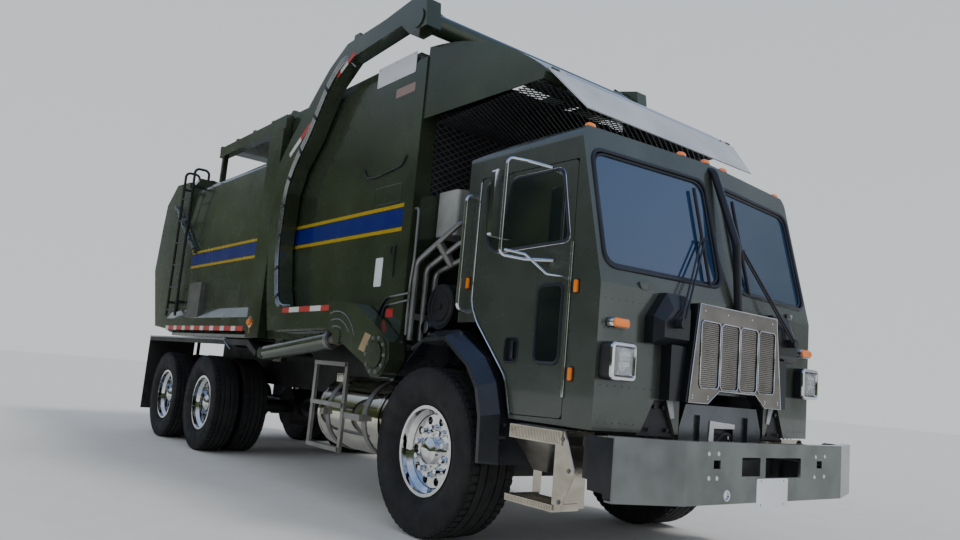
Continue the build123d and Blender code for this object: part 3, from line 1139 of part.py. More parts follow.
def ejector():
    """The packing blade that stands across the hopper floor on its two skids."""
    half = HOPPER_HALF_WIDTH - HOPPER_WALL - 15
    floor_z = HOPPER_BOTTOM_Z + FLOOR
    section = [(-700, floor_z + 10), (-1250, floor_z + 10), (-1160, 2050), (-1060, 2300), (-1000, 2300),
               (-700, 1700)]
    skids = [block(-1220, -730, s * 500, s * 600, floor_z + SEAT, floor_z + 20) for s in (-1, 1)]
    return [side_plate(section, -half, half) + skids]


def body_ladder():
    """The access ladder with its hoops on the rear right side, and the steel box on the sill in front of it."""
    y = -SILL_HALF_WIDTH - 36
    roof_y = y + 180
    stiles = (BODY_REAR_X + 70, BODY_REAR_X + 430)
    whole = None
    for x in stiles:
        hoop = [(x, y, 1500), (x, y, LADDER_HOOP_Z), (x, roof_y, LADDER_HOOP_Z), (x, roof_y, BODY_ROOF_Z - 60)]
        stile = bent_tube(hoop, 16, 60)
        feet = [block(x - 16, x + 16, 60 - BODY_HALF_WIDTH, y, z, z + 32) for z in (1660, 3150)]
        whole = stile + feet if whole is None else whole + stile + feet
    rungs = [bar((stiles[0], y, z), (stiles[1], y, z), 13) for z in range(1580, 3300, 290)]
    skin = extrude(body_section(0), 3000, dir=(1, 0, 0))
    inner, outer = BODY_HALF_WIDTH - 80, SILL_HALF_WIDTH - 4
    tool_box = block(-5330, -4900, -outer, -inner, SILL_EDGE_Z - 40, 1900)
    return [whole + rungs - skin - rear_ring(), tool_box - skin - mirrored(body_sill())]


# Moving pieces

def arm_mount():
    """The shaft across the frame that the arms turn on, and the rear brackets of the lift cylinders."""
    x, z = ARM_PIVOT
    half = HOPPER_HALF_WIDTH
    whole = across(x, z, -ARM_OUTER_Y - 4, ARM_OUTER_Y + 4, PIVOT_R)
    collars = [across(x, z, s * (ARM_OUTER_Y + 3), s * (ARM_OUTER_Y + 18), 95) for s in (-1, 1)]
    plates = [block(x - 130, x + 55, s * (half - 70), s * (half - 2), 1030, HOPPER_BOTTOM_Z) for s in (-1, 1)]
    y0, y1 = RAIL_OUTER_Y - 80, RAIL_OUTER_Y - 5
    saddles = [block(x - 110, x + 110, s * y0, s * y1, RAIL_TOP_Z, z) for s in (-1, 1)]
    rx, rz = LIFT_REAR_PIN
    brackets = pair(block(rx - 90, rx + 90, half - 90, half - 30, rz - 70, HOPPER_BOTTOM_Z))
    pins = pair(across(rx, rz, half - 40, ARM_OUTER_Y - 15, CYL_PIN_R))
    heads = pair(across(rx, rz, ARM_OUTER_Y - 15, ARM_OUTER_Y, 50))
    return [whole + collars + plates + saddles] + [brackets[i] + pins[i] + heads[i] for i in (0, 1)]


def lift_arms():
    """Both curved lift arms with their end plates, joined by the tube that the forks turn on."""
    px, pz = ARM_PIVOT
    arm = side_plate(ARM_OUTLINE, ARM_INNER_Y, ARM_OUTER_Y) + across(px, pz, ARM_INNER_Y, ARM_OUTER_Y, ARM_PIVOT_R)
    fx, fz = LIFT_FRONT_PIN
    reach = LIFT_EYE_HALF + 4
    slot = side_plate([(fx + x, fz + z) for x, z in LIFT_SLOT], ARM_MIDDLE_Y - reach, ARM_MIDDLE_Y + reach)
    arm = arm - across(px, pz, ARM_INNER_Y - 5, ARM_OUTER_Y + 5, PIVOT_R + RUNNING) - slot
    ring = across(px, pz, ARM_OUTER_Y - 2, ARM_OUTER_Y + 10, 150)
    ring = ring - across(px, pz, ARM_OUTER_Y - 5, ARM_OUTER_Y + 12, 105)
    lug = across(fx, fz, ARM_OUTER_Y - 20, ARM_OUTER_Y + 8, 62)
    cx, cz = FORK_CYL_REAR_PIN
    rear_lug = side_plate([(cx - 90, cz - 150), (cx + 90, cz - 110), (cx + 45, cz + 45), (cx - 45, cz + 45)],
                          ARM_INNER_Y, ARM_INNER_Y + 30)
    stub = across(cx, cz, FORK_CYL_Y - 20, ARM_INNER_Y + 30, CYL_PIN_R)
    arm = arm + ring + lug + rear_lug + stub
    tube = across(*FORK_PIVOT, -ARM_OUTER_Y, ARM_OUTER_Y, CROSS_TUBE_R)
    caps = [across(*FORK_PIVOT, s * (ARM_OUTER_Y - 5), s * (ARM_OUTER_Y + 12), CROSS_TUBE_R + 22) for s in (-1, 1)]
    return [arm + mirrored(arm) + tube + caps] + fork_barrels()


def forks():
    """The two tines on sleeves that turn on the arms' cross tube, with the cylinder levers."""
    tx, tz = FORK_PIVOT
    bore = across(tx, tz, -ARM_OUTER_Y, ARM_OUTER_Y, CROSS_TUBE_R + RUNNING)
    sleeve = across(tx, tz, -ARM_INNER_Y + 12, ARM_INNER_Y - 12, FORK_SLEEVE_R)
    tine = side_plate([(tx + 40, tz - 60), (tx + 40, tz + 70), (tx - 260, tz + 70), (tx - FORK_LENGTH, tz - 10),
                       (tx - FORK_LENGTH, tz - 55)], FORK_Y, FORK_Y + FORK_THICKNESS)
    lever_outline = [(tx - 75, tz - 10), (tx + 60, tz + 50), (tx - 110, tz + 185), (tx - 180, tz + 120)]
    half = tine
    for y0, y1 in ((FORK_CYL_Y - 44, FORK_CYL_Y - 30), (FORK_CYL_Y + 30, FORK_CYL_Y + 40)):
        half = half + side_plate(lever_outline, y0, y1)
    return [sleeve + half + mirrored(half) - bore]


def tail_solid(inset, y0, y1):
    """The tailgate's outline set in by a distance, extruded from y0 to y1."""
    face = side_face(TAIL_SECTION, y0)
    if inset:
        face = offset(face, -inset, kind=Kind.INTERSECTION).face()
    return extrude(face, y1 - y0, dir=(0, 1, 0))


def tailgate():
    """The curved rear door of the body, a shell open towards the load, with ribs that stand proud of its skin."""
    half = BODY_HALF_WIDTH - 5
    front_x = TAIL_SECTION[0][0]
    hollow = tail_solid(TAIL_WALL, TAIL_WALL - half, half - TAIL_WALL)
    mouth = block(front_x - TAIL_WALL - 2, front_x + 2, 80 - half, half - 80, 1450, 3200)
    edges = [y + s * TAIL_RIB_HALF for y in TAIL_RIBS_Y for s in (-1, 1)]
    edges = [-half + TAIL_EDGE_RIB] + edges + [half - TAIL_EDGE_RIB]
    behind = block(-REAR_REACH - 100, front_x - 300, -half, half, 1420, 3290)
    sunk = []
    for y0, y1 in zip(edges[::2], edges[1::2]):
        sunk.append((tail_solid(0, y0, y1) - tail_solid(TAIL_RIB, y0, y1)) & behind)
    hx, hz = TAIL_HINGE
    y0, y1 = TAIL_KNUCKLE_Y
    knuckle_half = across(hx, hz, y0, y1, TAIL_HINGE_R) + block(hx - 120, hx + 5, y0, y1, hz - 60, hz + 15)
    knuckle_half = knuckle_half - across(hx, hz, y0 - 1, y1 + 1, CYL_PIN_R + SEAT)
    boss = across(*TAIL_CYL_GATE_PIN, half - 5, TAIL_CYL_Y - TAIL_EYE_HALF - 6, 46)
    return [tail_solid(0, -half, half) - hollow - mouth - sunk + pair(knuckle_half) + pair(boss)]


def tail_ears():
    """The body's ears beside the tailgate's knuckles, with the pins that it swings on."""
    hx, hz = TAIL_HINGE
    inner_y, outer_y = TAIL_KNUCKLE_Y
    outline = [(hx, hz - TAIL_EAR_R), (hx + 75, hz - TAIL_EAR_R), (hx + 130, hz + 10), (hx + 130, hz + 45),
               (hx + 60, hz + 45), (hx, hz + TAIL_EAR_R)]
    half = across(hx, hz, inner_y - TAIL_EAR_WIDTH, outer_y + TAIL_EAR_WIDTH, CYL_PIN_R)
    for y0, y1 in ((inner_y - TAIL_EAR_WIDTH, inner_y - 3), (outer_y + 3, outer_y + TAIL_EAR_WIDTH)):
        half = half + side_plate(outline, y0, y1) + across(hx, hz, y0, y1, TAIL_EAR_R)
    return pair(half)


def barrel(pin, target, y0, y1, radius, rod_r, length):
    """A cylinder's barrel with its eye on a pin, bored for the rod that leaves towards the target."""
    y = (y0 + y1) / 2
    start = Vector(pin[0], y, pin[1])
    along = (Vector(target[0], y, target[1]) - start).normalized()
    tube = bar(start + along * 60, start + along * length, radius)
    neck = bar(start, start + along * 62, radius * 0.6)
    eye = across(pin[0], pin[1], y0, y1, radius * 0.8)
    bore = bar(start + along * 75, start + along * (length + 1), rod_r + RUNNING)
    pin_hole = across(pin[0], pin[1], y0 - 60, y1 + 60, CYL_PIN_R + RUNNING)
    return tube + neck + eye - bore - pin_hole


def rod(pin, target, y0, y1, rod_r, eye_r):
    """A cylinder's rod, from deep in its barrel to its eye at the target."""
    y = (y0 + y1) / 2
    start = Vector(pin[0], y, pin[1])
    end = Vector(target[0], y, target[1])
    along = (end - start).normalized()
    shaft = bar(start + along * 95, end, rod_r)
    return shaft + across(target[0], target[1], y0, y1, eye_r)


def lift_barrels():
    """The barrels of the two cylinders that raise the arms."""
    y0, y1 = ARM_MIDDLE_Y - LIFT_EYE_HALF, ARM_MIDDLE_Y + LIFT_EYE_HALF
    return pair(barrel(LIFT_REAR_PIN, LIFT_FRONT_PIN, y0, y1, LIFT_BARREL_R, LIFT_ROD_R, LIFT_BARREL_LENGTH))


def lift_rods():
    """The rods of the two lift cylinders, with their eyes between the arms' plates."""
    y0, y1 = ARM_MIDDLE_Y - LIFT_EYE_HALF, ARM_MIDDLE_Y + LIFT_EYE_HALF
    return pair(rod(LIFT_REAR_PIN, LIFT_FRONT_PIN, y0, y1, LIFT_ROD_R, LIFT_EYE_R))


def lever_tip():
    """Where the fork cylinder's rod meets its lever."""
    angle = math.radians(FORK_LEVER_ANGLE)
    return (FORK_PIVOT[0] + FORK_LEVER * math.cos(angle), FORK_PIVOT[1] + FORK_LEVER * math.sin(angle))


def fork_barrels():
    """The barrels of the two cylinders that tilt the forks."""
    y0, y1 = FORK_CYL_Y - FORK_EYE_HALF - 1, FORK_CYL_Y + FORK_EYE_HALF + 1
    return pair(barrel(FORK_CYL_REAR_PIN, lever_tip(), y0, y1, FORK_CYL_R, FORK_ROD_R, FORK_CYL_LENGTH))


def fork_rods():
    """The rods of the two fork cylinders."""
    y0, y1 = FORK_CYL_Y - FORK_EYE_HALF, FORK_CYL_Y + FORK_EYE_HALF
    return pair(rod(FORK_CYL_REAR_PIN, lever_tip(), y0, y1, FORK_ROD_R, FORK_EYE_R))


def tail_barrels():
    """The barrels of the two cylinders that lift the tailgate."""
    y0, y1 = TAIL_CYL_Y - TAIL_EYE_HALF, TAIL_CYL_Y + TAIL_EYE_HALF
    return pair(barrel(TAIL_CYL_BODY_PIN, TAIL_CYL_GATE_PIN, y0, y1, TAIL_CYL_R, TAIL_ROD_R, TAIL_CYL_LENGTH))


def tail_rods():
    """The rods of the two tailgate cylinders."""
    y0, y1 = TAIL_CYL_Y - TAIL_EYE_HALF, TAIL_CYL_Y + TAIL_EYE_HALF
    return pair(rod(TAIL_CYL_BODY_PIN, TAIL_CYL_GATE_PIN, y0, y1, TAIL_ROD_R, TAIL_EYE_R))


NODES = {
    "frame_rails": frame_rails,
    "bumper": bumper,
    "nose_panel": nose_panel,
    "front_axle": front_axle,
    "rear_axles": rear_axles,
    "drive_line": drive_line,
    "front_fenders": front_fenders,
    "rear_fenders": rear_fenders,
    "cab_steps": cab_steps,
    "fuel_tank": fuel_tank,
    "tank_frame": tank_frame,
    "left_tanks": left_tanks,
    "air_cleaner": air_cleaner,
    "engine_pipes": engine_pipes,
    "reservoir": reservoir,
    "cab_shell": cab_shell,
    "engine_cover": engine_cover,
    "windshield": windshield,
    "grille": grille,
    "cab_lamps": cab_lamps,
    "wipers": wipers,
    "cab_trim": cab_trim,
    "cab_inside": cab_inside,
    "hopper": hopper,
    "hopper_mesh": hopper_mesh,
    "canopy": canopy,
    "canopy_flap": canopy_flap,
    "packer_body": packer_body,
    "top_door": top_door,
    "ejector": ejector,
    "body_ladder": body_ladder,
    "arm_mount": arm_mount,
    "lift_arms": lift_arms,
    "forks": forks,
    "lift_barrels": lift_barrels,
    "lift_rods": lift_rods,
    "fork_rods": fork_rods,
    "tailgate": tailgate,
    "tail_barrels": tail_barrels,
    "tail_rods": tail_rods,
}
SIDES = {"left": 1, "right": -1}
REAR_AXLES = {"a": -WHEELBASE, "b": REAR_AXLE_X}


def write(node, solids):
    """Writes one sub-part's solids as a STEP file, moved so that the origin is under the middle."""
    placed = []
    for item in solids:
        for solid in item.solids():
            placed.append(Pos(ORIGIN_SHIFT, 0, 0) * solid)
    whole = placed[0] if len(placed) == 1 else Compound(placed)
    export_step(whole, f"parts/{node}.step")


os.makedirs("parts", exist_ok=True)
for node, make in NODES.items():
    write(node, make())
for name, side in SIDES.items():
    write(f"knuckle_{name}", knuckle(side))
    write(f"front_wheel_{name}", front_wheel(side))
    write(f"front_tyre_{name}", front_tyre(side))
    write(f"door_{name}", door(side))
    write(f"door_glass_{name}", door_glass(side))
    write(f"mirror_{name}", mirror_set(side))
    for letter, x in REAR_AXLES.items():
        write(f"rear_wheel_{letter}_{name}", rear_wheel(x, side))
        write(f"rear_tyres_{letter}_{name}", rear_tyres(x, side))
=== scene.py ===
"""Looks of the front-loading garbage truck: finishes for every CAD node, and the fine pieces on them."""
import bmesh
import bpy
import math
from mathutils import Matrix, Vector


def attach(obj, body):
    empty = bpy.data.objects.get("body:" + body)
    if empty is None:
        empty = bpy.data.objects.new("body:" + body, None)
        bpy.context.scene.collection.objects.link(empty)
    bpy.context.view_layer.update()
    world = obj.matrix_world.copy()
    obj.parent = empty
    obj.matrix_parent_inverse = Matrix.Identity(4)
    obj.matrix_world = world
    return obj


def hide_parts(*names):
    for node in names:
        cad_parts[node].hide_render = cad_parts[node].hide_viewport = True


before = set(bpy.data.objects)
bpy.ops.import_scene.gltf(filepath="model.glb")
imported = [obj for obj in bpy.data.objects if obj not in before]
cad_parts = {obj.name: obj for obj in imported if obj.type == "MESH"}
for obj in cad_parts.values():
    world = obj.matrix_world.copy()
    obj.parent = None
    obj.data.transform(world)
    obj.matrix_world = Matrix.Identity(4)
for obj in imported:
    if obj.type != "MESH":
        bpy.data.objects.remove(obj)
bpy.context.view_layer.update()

# The CAD model is written with X from the front axle, moved forward by this much, in metres
SHIFT = 2.667
SIDES = (-1, 1)
SIDE_NAMES = {-1: "right", 1: "left"}

# Sizes that the pieces share with the CAD solids
CAB_SIDE = 1.101
CAB_SWEEP = 0.108
NOSE_X = 1.500
GLASS_FOOT = (1.482, 1.722)
GLASS_HEAD = (1.292, 2.494)
GLASS_LENGTH = 0.795
HOPPER_SIDE = 1.130
SILL_SIDE = 1.220
ARM_FACE = 1.285
BUMPER_FACE = 1.796
DOOR_SKIN = 1.1005
BUMPER_STRAIGHT = 0.81
BUMPER_SWEEP = 0.349
REAR_AXLES = {"a": -4.478, "b": -5.824}
DUAL_SPACING = 0.330

# Each tyre's radius, width and rim width
FRONT_TYRE = (0.555, 0.390, 0.300)
REAR_TYRE = (0.522, 0.279, 0.210)


# Finishes

def new_finish(name):
    """An empty material with its shader, and the coordinates that its patterns read."""
    material = bpy.data.materials.new(name)
    material.use_nodes = True
    tree = material.node_tree
    shader = tree.nodes["Principled BSDF"]
    place = tree.nodes.new("ShaderNodeTexCoord")
    return material, tree, shader, place.outputs["Object"]


def feed(tree, node, values):
    """Puts values and other nodes' outputs into a node's inputs."""
    for label, value in values.items():
        if isinstance(value, bpy.types.NodeSocket):
            tree.links.new(value, node.inputs[label])
        else:
            node.inputs[label].default_value = value


def add_node(tree, kind, values=None, **settings):
    """A node with its settings and what goes into it."""
    node = tree.nodes.new(kind)
    for label, value in settings.items():
        setattr(node, label, value)
    feed(tree, node, values or {})
    return node


def noise(tree, place, scale, detail=3.0, roughness=0.5, distortion=0.0):
    """A noise pattern of the given scale in metres."""
    values = {"Scale": 1.0 / scale, "Detail": detail, "Roughness": roughness, "Distortion": distortion}
    return add_node(tree, "ShaderNodeTexNoise", {**values, "Vector": place}).outputs["Fac"]


def spread(tree, value, low, high, out_low=0.0, out_high=1.0):
    """A value moved from one range to another."""
    ends = {"From Min": low, "From Max": high, "To Min": out_low, "To Max": out_high}
    return add_node(tree, "ShaderNodeMapRange", {**ends, "Value": value}).outputs["Result"]


def reckon(tree, operation, first, second=0.0):
    """One step of arithmetic on a pattern."""
    return add_node(tree, "ShaderNodeMath", {0: first, 1: second}, operation=operation).outputs["Value"]


def blend_colours(tree, share, first, second):
    """One colour that turns into another as the share goes from 0 to 1."""
    first, second = ((*colour, 1.0) if isinstance(colour, tuple) else colour for colour in (first, second))
    mix = add_node(tree, "ShaderNodeMix", {"Factor": share, "A": first, "B": second}, data_type="RGBA")
    return mix.outputs["Result"]


def vary_roughness(tree, pattern, low, high):
    """A roughness that follows a noise pattern between two values."""
    return spread(tree, pattern, 0.3, 0.7, low, high)


def bump(tree, height, distance, strength):
    """Relief from a height pattern."""
    values = {"Distance": distance, "Strength": strength, "Height": height}
    return add_node(tree, "ShaderNodeBump", values).outputs["Normal"]


def split_place(tree, place):
    """A place's three coordinates, each on its own."""
    return tuple(add_node(tree, "ShaderNodeSeparateXYZ", {"Vector": place}).outputs)


def band(tree, value, low, high, edge=0.0008):
    """One between two values and zero outside them, with a sharp edge."""
    rise = spread(tree, value, low - edge, low + edge)
    fall = spread(tree, value, high - edge, high + edge, 1.0, 0.0)
    return reckon(tree, "MULTIPLY", rise, fall)


def painted(name, colour, second, metallic, roughness, coat, dust, dust_top, stripes=None):
    """A paint with slow changes of tone, a fine grain and road dust that thins out with height."""
    material, tree, shader, place = new_finish(name)
    x, _, z = split_place(tree, place)
    tone = blend_colours(tree, spread(tree, noise(tree, place, 0.5, 4.0, 0.55), 0.38, 0.66), colour, second)
    if stripes:
        low, high, rear_x, front_x = stripes
        along = band(tree, x, rear_x + SHIFT, front_x + SHIFT)
        blue = reckon(tree, "MULTIPLY", along, band(tree, z, low + STRIPE_EDGE, high - STRIPE_EDGE))
        for foot in (low, high - STRIPE_YELLOW):
            yellow = reckon(tree, "MULTIPLY", along, band(tree, z, foot, foot + STRIPE_YELLOW))
            tone = blend_colours(tree, yellow, tone, YELLOW)
        tone = blend_colours(tree, blue, tone, BLUE)
    low = spread(tree, z, 0.2, dust_top, 1.0, 0.0)
    speckle = spread(tree, noise(tree, place, 0.09, 6.0, 0.7), 0.42, 0.75)
    amount = reckon(tree, "MULTIPLY", low, speckle)
    feed(tree, shader, {
        "Base Color": blend_colours(tree, amount, tone, dust), "Metallic": metallic,
        "Roughness": vary_roughness(tree, noise(tree, place, 0.22, 5.0), roughness * 0.8, roughness * 1.3),
        "Coat Weight": coat, "Coat Roughness": 0.05,
        "Normal": bump(tree, noise(tree, place, 0.018, 2.0), 0.0006, 0.3)})
    return material


def polished(name, colour, roughness, streak=(1.0, 1.0, 1.0), relief=0.0008, wave=0.16):
    """A mirror-bright metal with faint waves and polishing marks."""
    material, tree, shader, place = new_finish(name)
    drawn = add_node(tree, "ShaderNodeMapping", {"Scale": streak, "Vector": place}).outputs["Vector"]
    waves = noise(tree, drawn, wave, 3.0, 0.5, 0.6)
    tone = blend_colours(tree, spread(tree, waves, 0.3, 0.7), colour, tuple(0.72 * c for c in colour))
    rough = vary_roughness(tree, noise(tree, drawn, 0.012, 4.0), roughness * 0.85, roughness * 1.25)
    feed(tree, shader, {"Base Color": tone, "Metallic": 1.0, "Roughness": rough,
                        "Normal": bump(tree, waves, relief, 0.5)})
    return material


def moulded(name, colour, second, roughness, grain=0.006, relief=0.0007, coat=0.0):
    """A moulded plastic or rubber with a fine grain and slow changes of tone."""
    material, tree, shader, place = new_finish(name)
    slow = spread(tree, noise(tree, place, 0.25, 4.0), 0.35, 0.68)
    rough = vary_roughness(tree, noise(tree, place, 0.1, 4.0), roughness * 0.85, roughness * 1.2)
    feed(tree, shader, {"Base Color": blend_colours(tree, slow, colour, second), "Roughness": rough,
                        "Coat Weight": coat,
                        "Normal": bump(tree, noise(tree, place, grain, 2.0), relief, 0.5)})
    return material


def glass(name, colour, second, metallic, transmission):
    """A tinted pane with slow changes of tone."""
    material, tree, shader, place = new_finish(name)
    slow = spread(tree, noise(tree, place, 0.7, 2.0), 0.35, 0.65)
    rough = vary_roughness(tree, noise(tree, place, 0.3, 3.0), 0.03 * 0.5, 0.03 * 1.5)
    feed(tree, shader, {"Base Color": blend_colours(tree, slow, colour, second), "Roughness": rough,
                        "Metallic": metallic, "Transmission Weight": transmission, "IOR": 2.2})
    return material


def two_tone(name, mask, first, second):
    """Two finishes on one node, each a colour, a metallic share and a roughness, told apart by place."""
    material, tree, shader, place = new_finish(name)
    share = mask(tree, *split_place(tree, place))
    slow = spread(tree, noise(tree, place, 0.2, 4.0), 0.36, 0.66)
    tones = [blend_colours(tree, slow, colour, tuple(0.7 * c for c in colour))
             for colour, _, _ in (first, second)]
    feed(tree, shader, {"Base Color": blend_colours(tree, share, *tones),
                        "Metallic": spread(tree, share, 0.0, 1.0, first[1], second[1]),
                        "Roughness": spread(tree, share, 0.0, 1.0, first[2], second[2]),
                        "Normal": bump(tree, noise(tree, place, 0.02, 3.0), 0.0005, 0.4)})
    return material


def past_grille_face(tree, x, y, z):
    """One on the grille's frame and rims, and nothing on its housing, wings and cowls."""
    return spread(tree, x, 1.5483 + SHIFT, 1.5487 + SHIFT)


def on_tool_box(tree, x, y, z):
    """One on the steel box in front of the ladder."""
    return spread(tree, x, -5.40 + SHIFT, -5.39 + SHIFT)


def off_centre(tree, x, y, z):
    """One on the grab handles at the cab's sides, and nothing on the guard tube in the middle."""
    return spread(tree, reckon(tree, "ABSOLUTE", y), 1.0, 1.05)


def behind_bumper_skin(tree, x, y, z):
    """One behind the bumper's swept skin and lips, where the bumper is painted near black as painted shade
    inside its open ends.
    """
    out = reckon(tree, "MAXIMUM", reckon(tree, "SUBTRACT", reckon(tree, "ABSOLUTE", y), BUMPER_STRAIGHT), 0.0)
    face = reckon(tree, "SUBTRACT", BUMPER_FACE - 0.052 + SHIFT, reckon(tree, "MULTIPLY", out, BUMPER_SWEEP))
    return spread(tree, reckon(tree, "SUBTRACT", face, x), -0.001, 0.001)


STRIPE_YELLOW = 0.030
STRIPE_EDGE = 0.038
YELLOW = (0.60, 0.40, 0.02)
BLUE = (0.004, 0.014, 0.24)
ROAD_DUST = (0.16, 0.145, 0.12)
OLIVE = ((0.032, 0.044, 0.024), (0.052, 0.068, 0.040), 0.45, 0.24, 0.5, ROAD_DUST, 1.3)
body_green = painted("body_green", *OLIVE)
hopper_green = painted("hopper_green", *OLIVE, stripes=(2.13, 2.35, -2.65, -0.67))
packer_green = painted("packer_green", *OLIVE, stripes=(2.10, 2.31, -5.53, -3.34))
cab_green = painted("cab_green", (0.062, 0.074, 0.064), (0.084, 0.097, 0.086), 0.5, 0.24, 0.5, ROAD_DUST, 1.1)
chassis_black = painted("chassis_black", (0.010, 0.010, 0.011), (0.020, 0.020, 0.019), 0.0, 0.5, 0.0,
                        (0.05, 0.047, 0.042), 1.5)
fender_black = moulded("fender_black", (0.008, 0.009, 0.013), (0.014, 0.016, 0.022), 0.28, coat=0.4)
# The near black behind the bumper's skin is painted shade inside the bumper's open ends.
bumper_grey = two_tone("bumper_grey", behind_bumper_skin, ((0.20, 0.215, 0.21), 0.75, 0.2),
                       ((0.006, 0.006, 0.006), 0.0, 0.6))
nose_grey = painted("nose_grey", (0.10, 0.11, 0.12), (0.15, 0.16, 0.17), 0.9, 0.25, 0.1, ROAD_DUST, 0.8)
flap_grey = painted("flap_grey", (0.5, 0.51, 0.52), (0.38, 0.39, 0.4), 0.2, 0.4, 0.1, ROAD_DUST, 0.9)
bright_metal = polished("bright_metal", (0.86, 0.87, 0.88), 0.07)
step_metal = polished("step_metal", (0.58, 0.53, 0.44), 0.16, (1.0, 1.0, 2.0))
tank_metal = polished("tank_metal", (0.74, 0.70, 0.60), 0.08, (0.4, 1.0, 3.0))
rim_metal = polished("rim_metal", (0.88, 0.87, 0.85), 0.07, relief=0.003, wave=0.07)
line_steel = polished("line_steel", (0.42, 0.43, 0.44), 0.25)
rod_chrome = polished("rod_chrome", (0.8, 0.82, 0.84), 0.07, (0.3, 1.0, 1.0))
raw_steel = painted("raw_steel", (0.34, 0.34, 0.33), (0.22, 0.21, 0.2), 0.8, 0.38, 0.0, ROAD_DUST, 1.2)
tyre_rubber = moulded("tyre_rubber", (0.009, 0.009, 0.010), (0.018, 0.017, 0.016), 0.8, 0.01, 0.0012)
dark_plastic = moulded("dark_plastic", (0.010, 0.010, 0.012), (0.018, 0.018, 0.021), 0.4)
# Near black for the hopper's front screen: partly the screen's own black, partly painted shade of the
# hopper's inside seen through it.
screen_black_and_shade = moulded("screen_black_and_shade", (0.003, 0.004, 0.006), (0.005, 0.006, 0.009), 0.8)
seal_rubber = moulded("seal_rubber", (0.008, 0.010, 0.016), (0.016, 0.018, 0.026), 0.35)
pale_plastic = moulded("pale_plastic", (0.34, 0.35, 0.34), (0.24, 0.25, 0.24), 0.5)
lining_grey = moulded("lining_grey", (0.05, 0.05, 0.055), (0.08, 0.08, 0.085), 0.7)
seat_fabric = moulded("seat_fabric", (0.03, 0.032, 0.038), (0.05, 0.052, 0.06), 0.85, 0.003, 0.0008)
# The windshield's blue base colour is painted sky reflection.
windshield_glass_painted_sky = glass("windshield_glass_painted_sky", (0.010, 0.034, 0.085), (0.014, 0.042, 0.10), 0.0, 0.2)
door_glass_dark = glass("door_glass_dark", (0.012, 0.018, 0.02), (0.02, 0.03, 0.03), 0.2, 0.3)
clear_glass = glass("clear_glass", (0.9, 0.92, 0.93), (0.95, 0.96, 0.96), 0.0, 0.9)
amber = moulded("amber", (0.80, 0.17, 0.008), (0.9, 0.25, 0.012), 0.18, coat=0.6)
red_lens = moulded("red_lens", (0.42, 0.008, 0.006), (0.5, 0.012, 0.01), 0.2, coat=0.6)
red_tape = moulded("red_tape", (0.36, 0.02, 0.016), (0.44, 0.03, 0.024), 0.35)
white_tape = moulded("white_tape", (0.5, 0.5, 0.48), (0.6, 0.6, 0.58), 0.35)
plate_white = moulded("plate_white", (0.62, 0.64, 0.68), (0.54, 0.56, 0.6), 0.4)
bracket_white = moulded("bracket_white", (0.56, 0.58, 0.6), (0.44, 0.45, 0.47), 0.45)
gold_zinc = polished("gold_zinc", (0.72, 0.52, 0.24), 0.25)
grille_steel = two_tone("grille_steel", past_grille_face, ((0.009, 0.010, 0.013), 0.0, 0.3),
                        ((0.28, 0.255, 0.225), 1.0, 0.24))
sheet_steel = polished("sheet_steel", (0.34, 0.31, 0.28), 0.24)
ladder_black = two_tone("ladder_black", on_tool_box, ((0.011, 0.012, 0.013), 0.0, 0.45),
                        ((0.16, 0.16, 0.15), 0.6, 0.45))
trim_tubes = two_tone("trim_tubes", off_centre, ((0.012, 0.013, 0.016), 0.0, 0.3),
                      ((0.82, 0.83, 0.84), 1.0, 0.12))
tan_plate = moulded("tan_plate", (0.32, 0.23, 0.12), (0.26, 0.19, 0.10), 0.4)
pink_plate = moulded("pink_plate", (0.26, 0.17, 0.16), (0.22, 0.15, 0.14), 0.45)

FINISHES = {
    cab_green: ["cab_shell", "door_left", "door_right"],
    body_green: ["canopy", "tailgate", "lift_arms", "forks", "top_door", "arm_mount", "lift_barrels",
                 "tail_barrels"],
    hopper_green: ["hopper"],
    packer_green: ["packer_body"],
    chassis_black: ["frame_rails", "front_axle", "rear_axles", "drive_line", "rear_fenders", "left_tanks",
                    "knuckle_left", "knuckle_right", "ejector"],
    fender_black: ["front_fenders"],
    bumper_grey: ["bumper"],
    nose_grey: ["nose_panel"],
    flap_grey: ["canopy_flap"],
    bright_metal: ["mirror_left", "mirror_right"],
    grille_steel: ["grille"],
    step_metal: ["cab_steps"],
    tank_metal: ["fuel_tank"],
    rim_metal: [f"rear_wheel_{a}_{s}" for a in "ab" for s in ("left", "right")]
               + ["front_wheel_left", "front_wheel_right"],
    screen_black_and_shade: ["hopper_mesh"],
    rod_chrome: ["lift_rods", "fork_rods"],
    raw_steel: ["engine_pipes", "tank_frame", "tail_rods"],
    tyre_rubber: [f"rear_tyres_{a}_{s}" for a in "ab" for s in ("left", "right")]
                 + ["front_tyre_left", "front_tyre_right"],
    dark_plastic: ["wipers", "air_cleaner"],
    trim_tubes: ["cab_trim"],
    ladder_black: ["body_ladder"],
    pale_plastic: ["reservoir"],
    lining_grey: ["engine_cover"],
    windshield_glass_painted_sky: ["windshield"],
    amber: ["cab_lamps"],
}


for material, nodes in FINISHES.items():
    for node in nodes:
        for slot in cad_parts[node].material_slots:
            slot.material = material


# Ways to make a mesh

def at(x, y, z):
    """A point of the truck, with X measured from the front axle."""
    return Vector((x + SHIFT, y, z))


def on_side(outline, side, y):
    """An outline of X and Z on one side of the truck."""
    return [at(x, side * y, z) for x, z in outline]


def on_front(outline, x):
    """An outline of Y and Z that faces forward."""
    return [at(x, y, z) for y, z in outline]


def box_outline(low, high):
    """The four corners of a rectangle, from its low and its high corner."""
    return [low, (high[0], low[1]), high, (low[0], high[1])]


def outward(side, reach):
    """A step away from the truck's middle."""
    return Vector((0, side * reach, 0))


def angles_round(count):
    """Angles evenly round a circle."""
    return [2 * math.pi * i / count for i in range(count)]


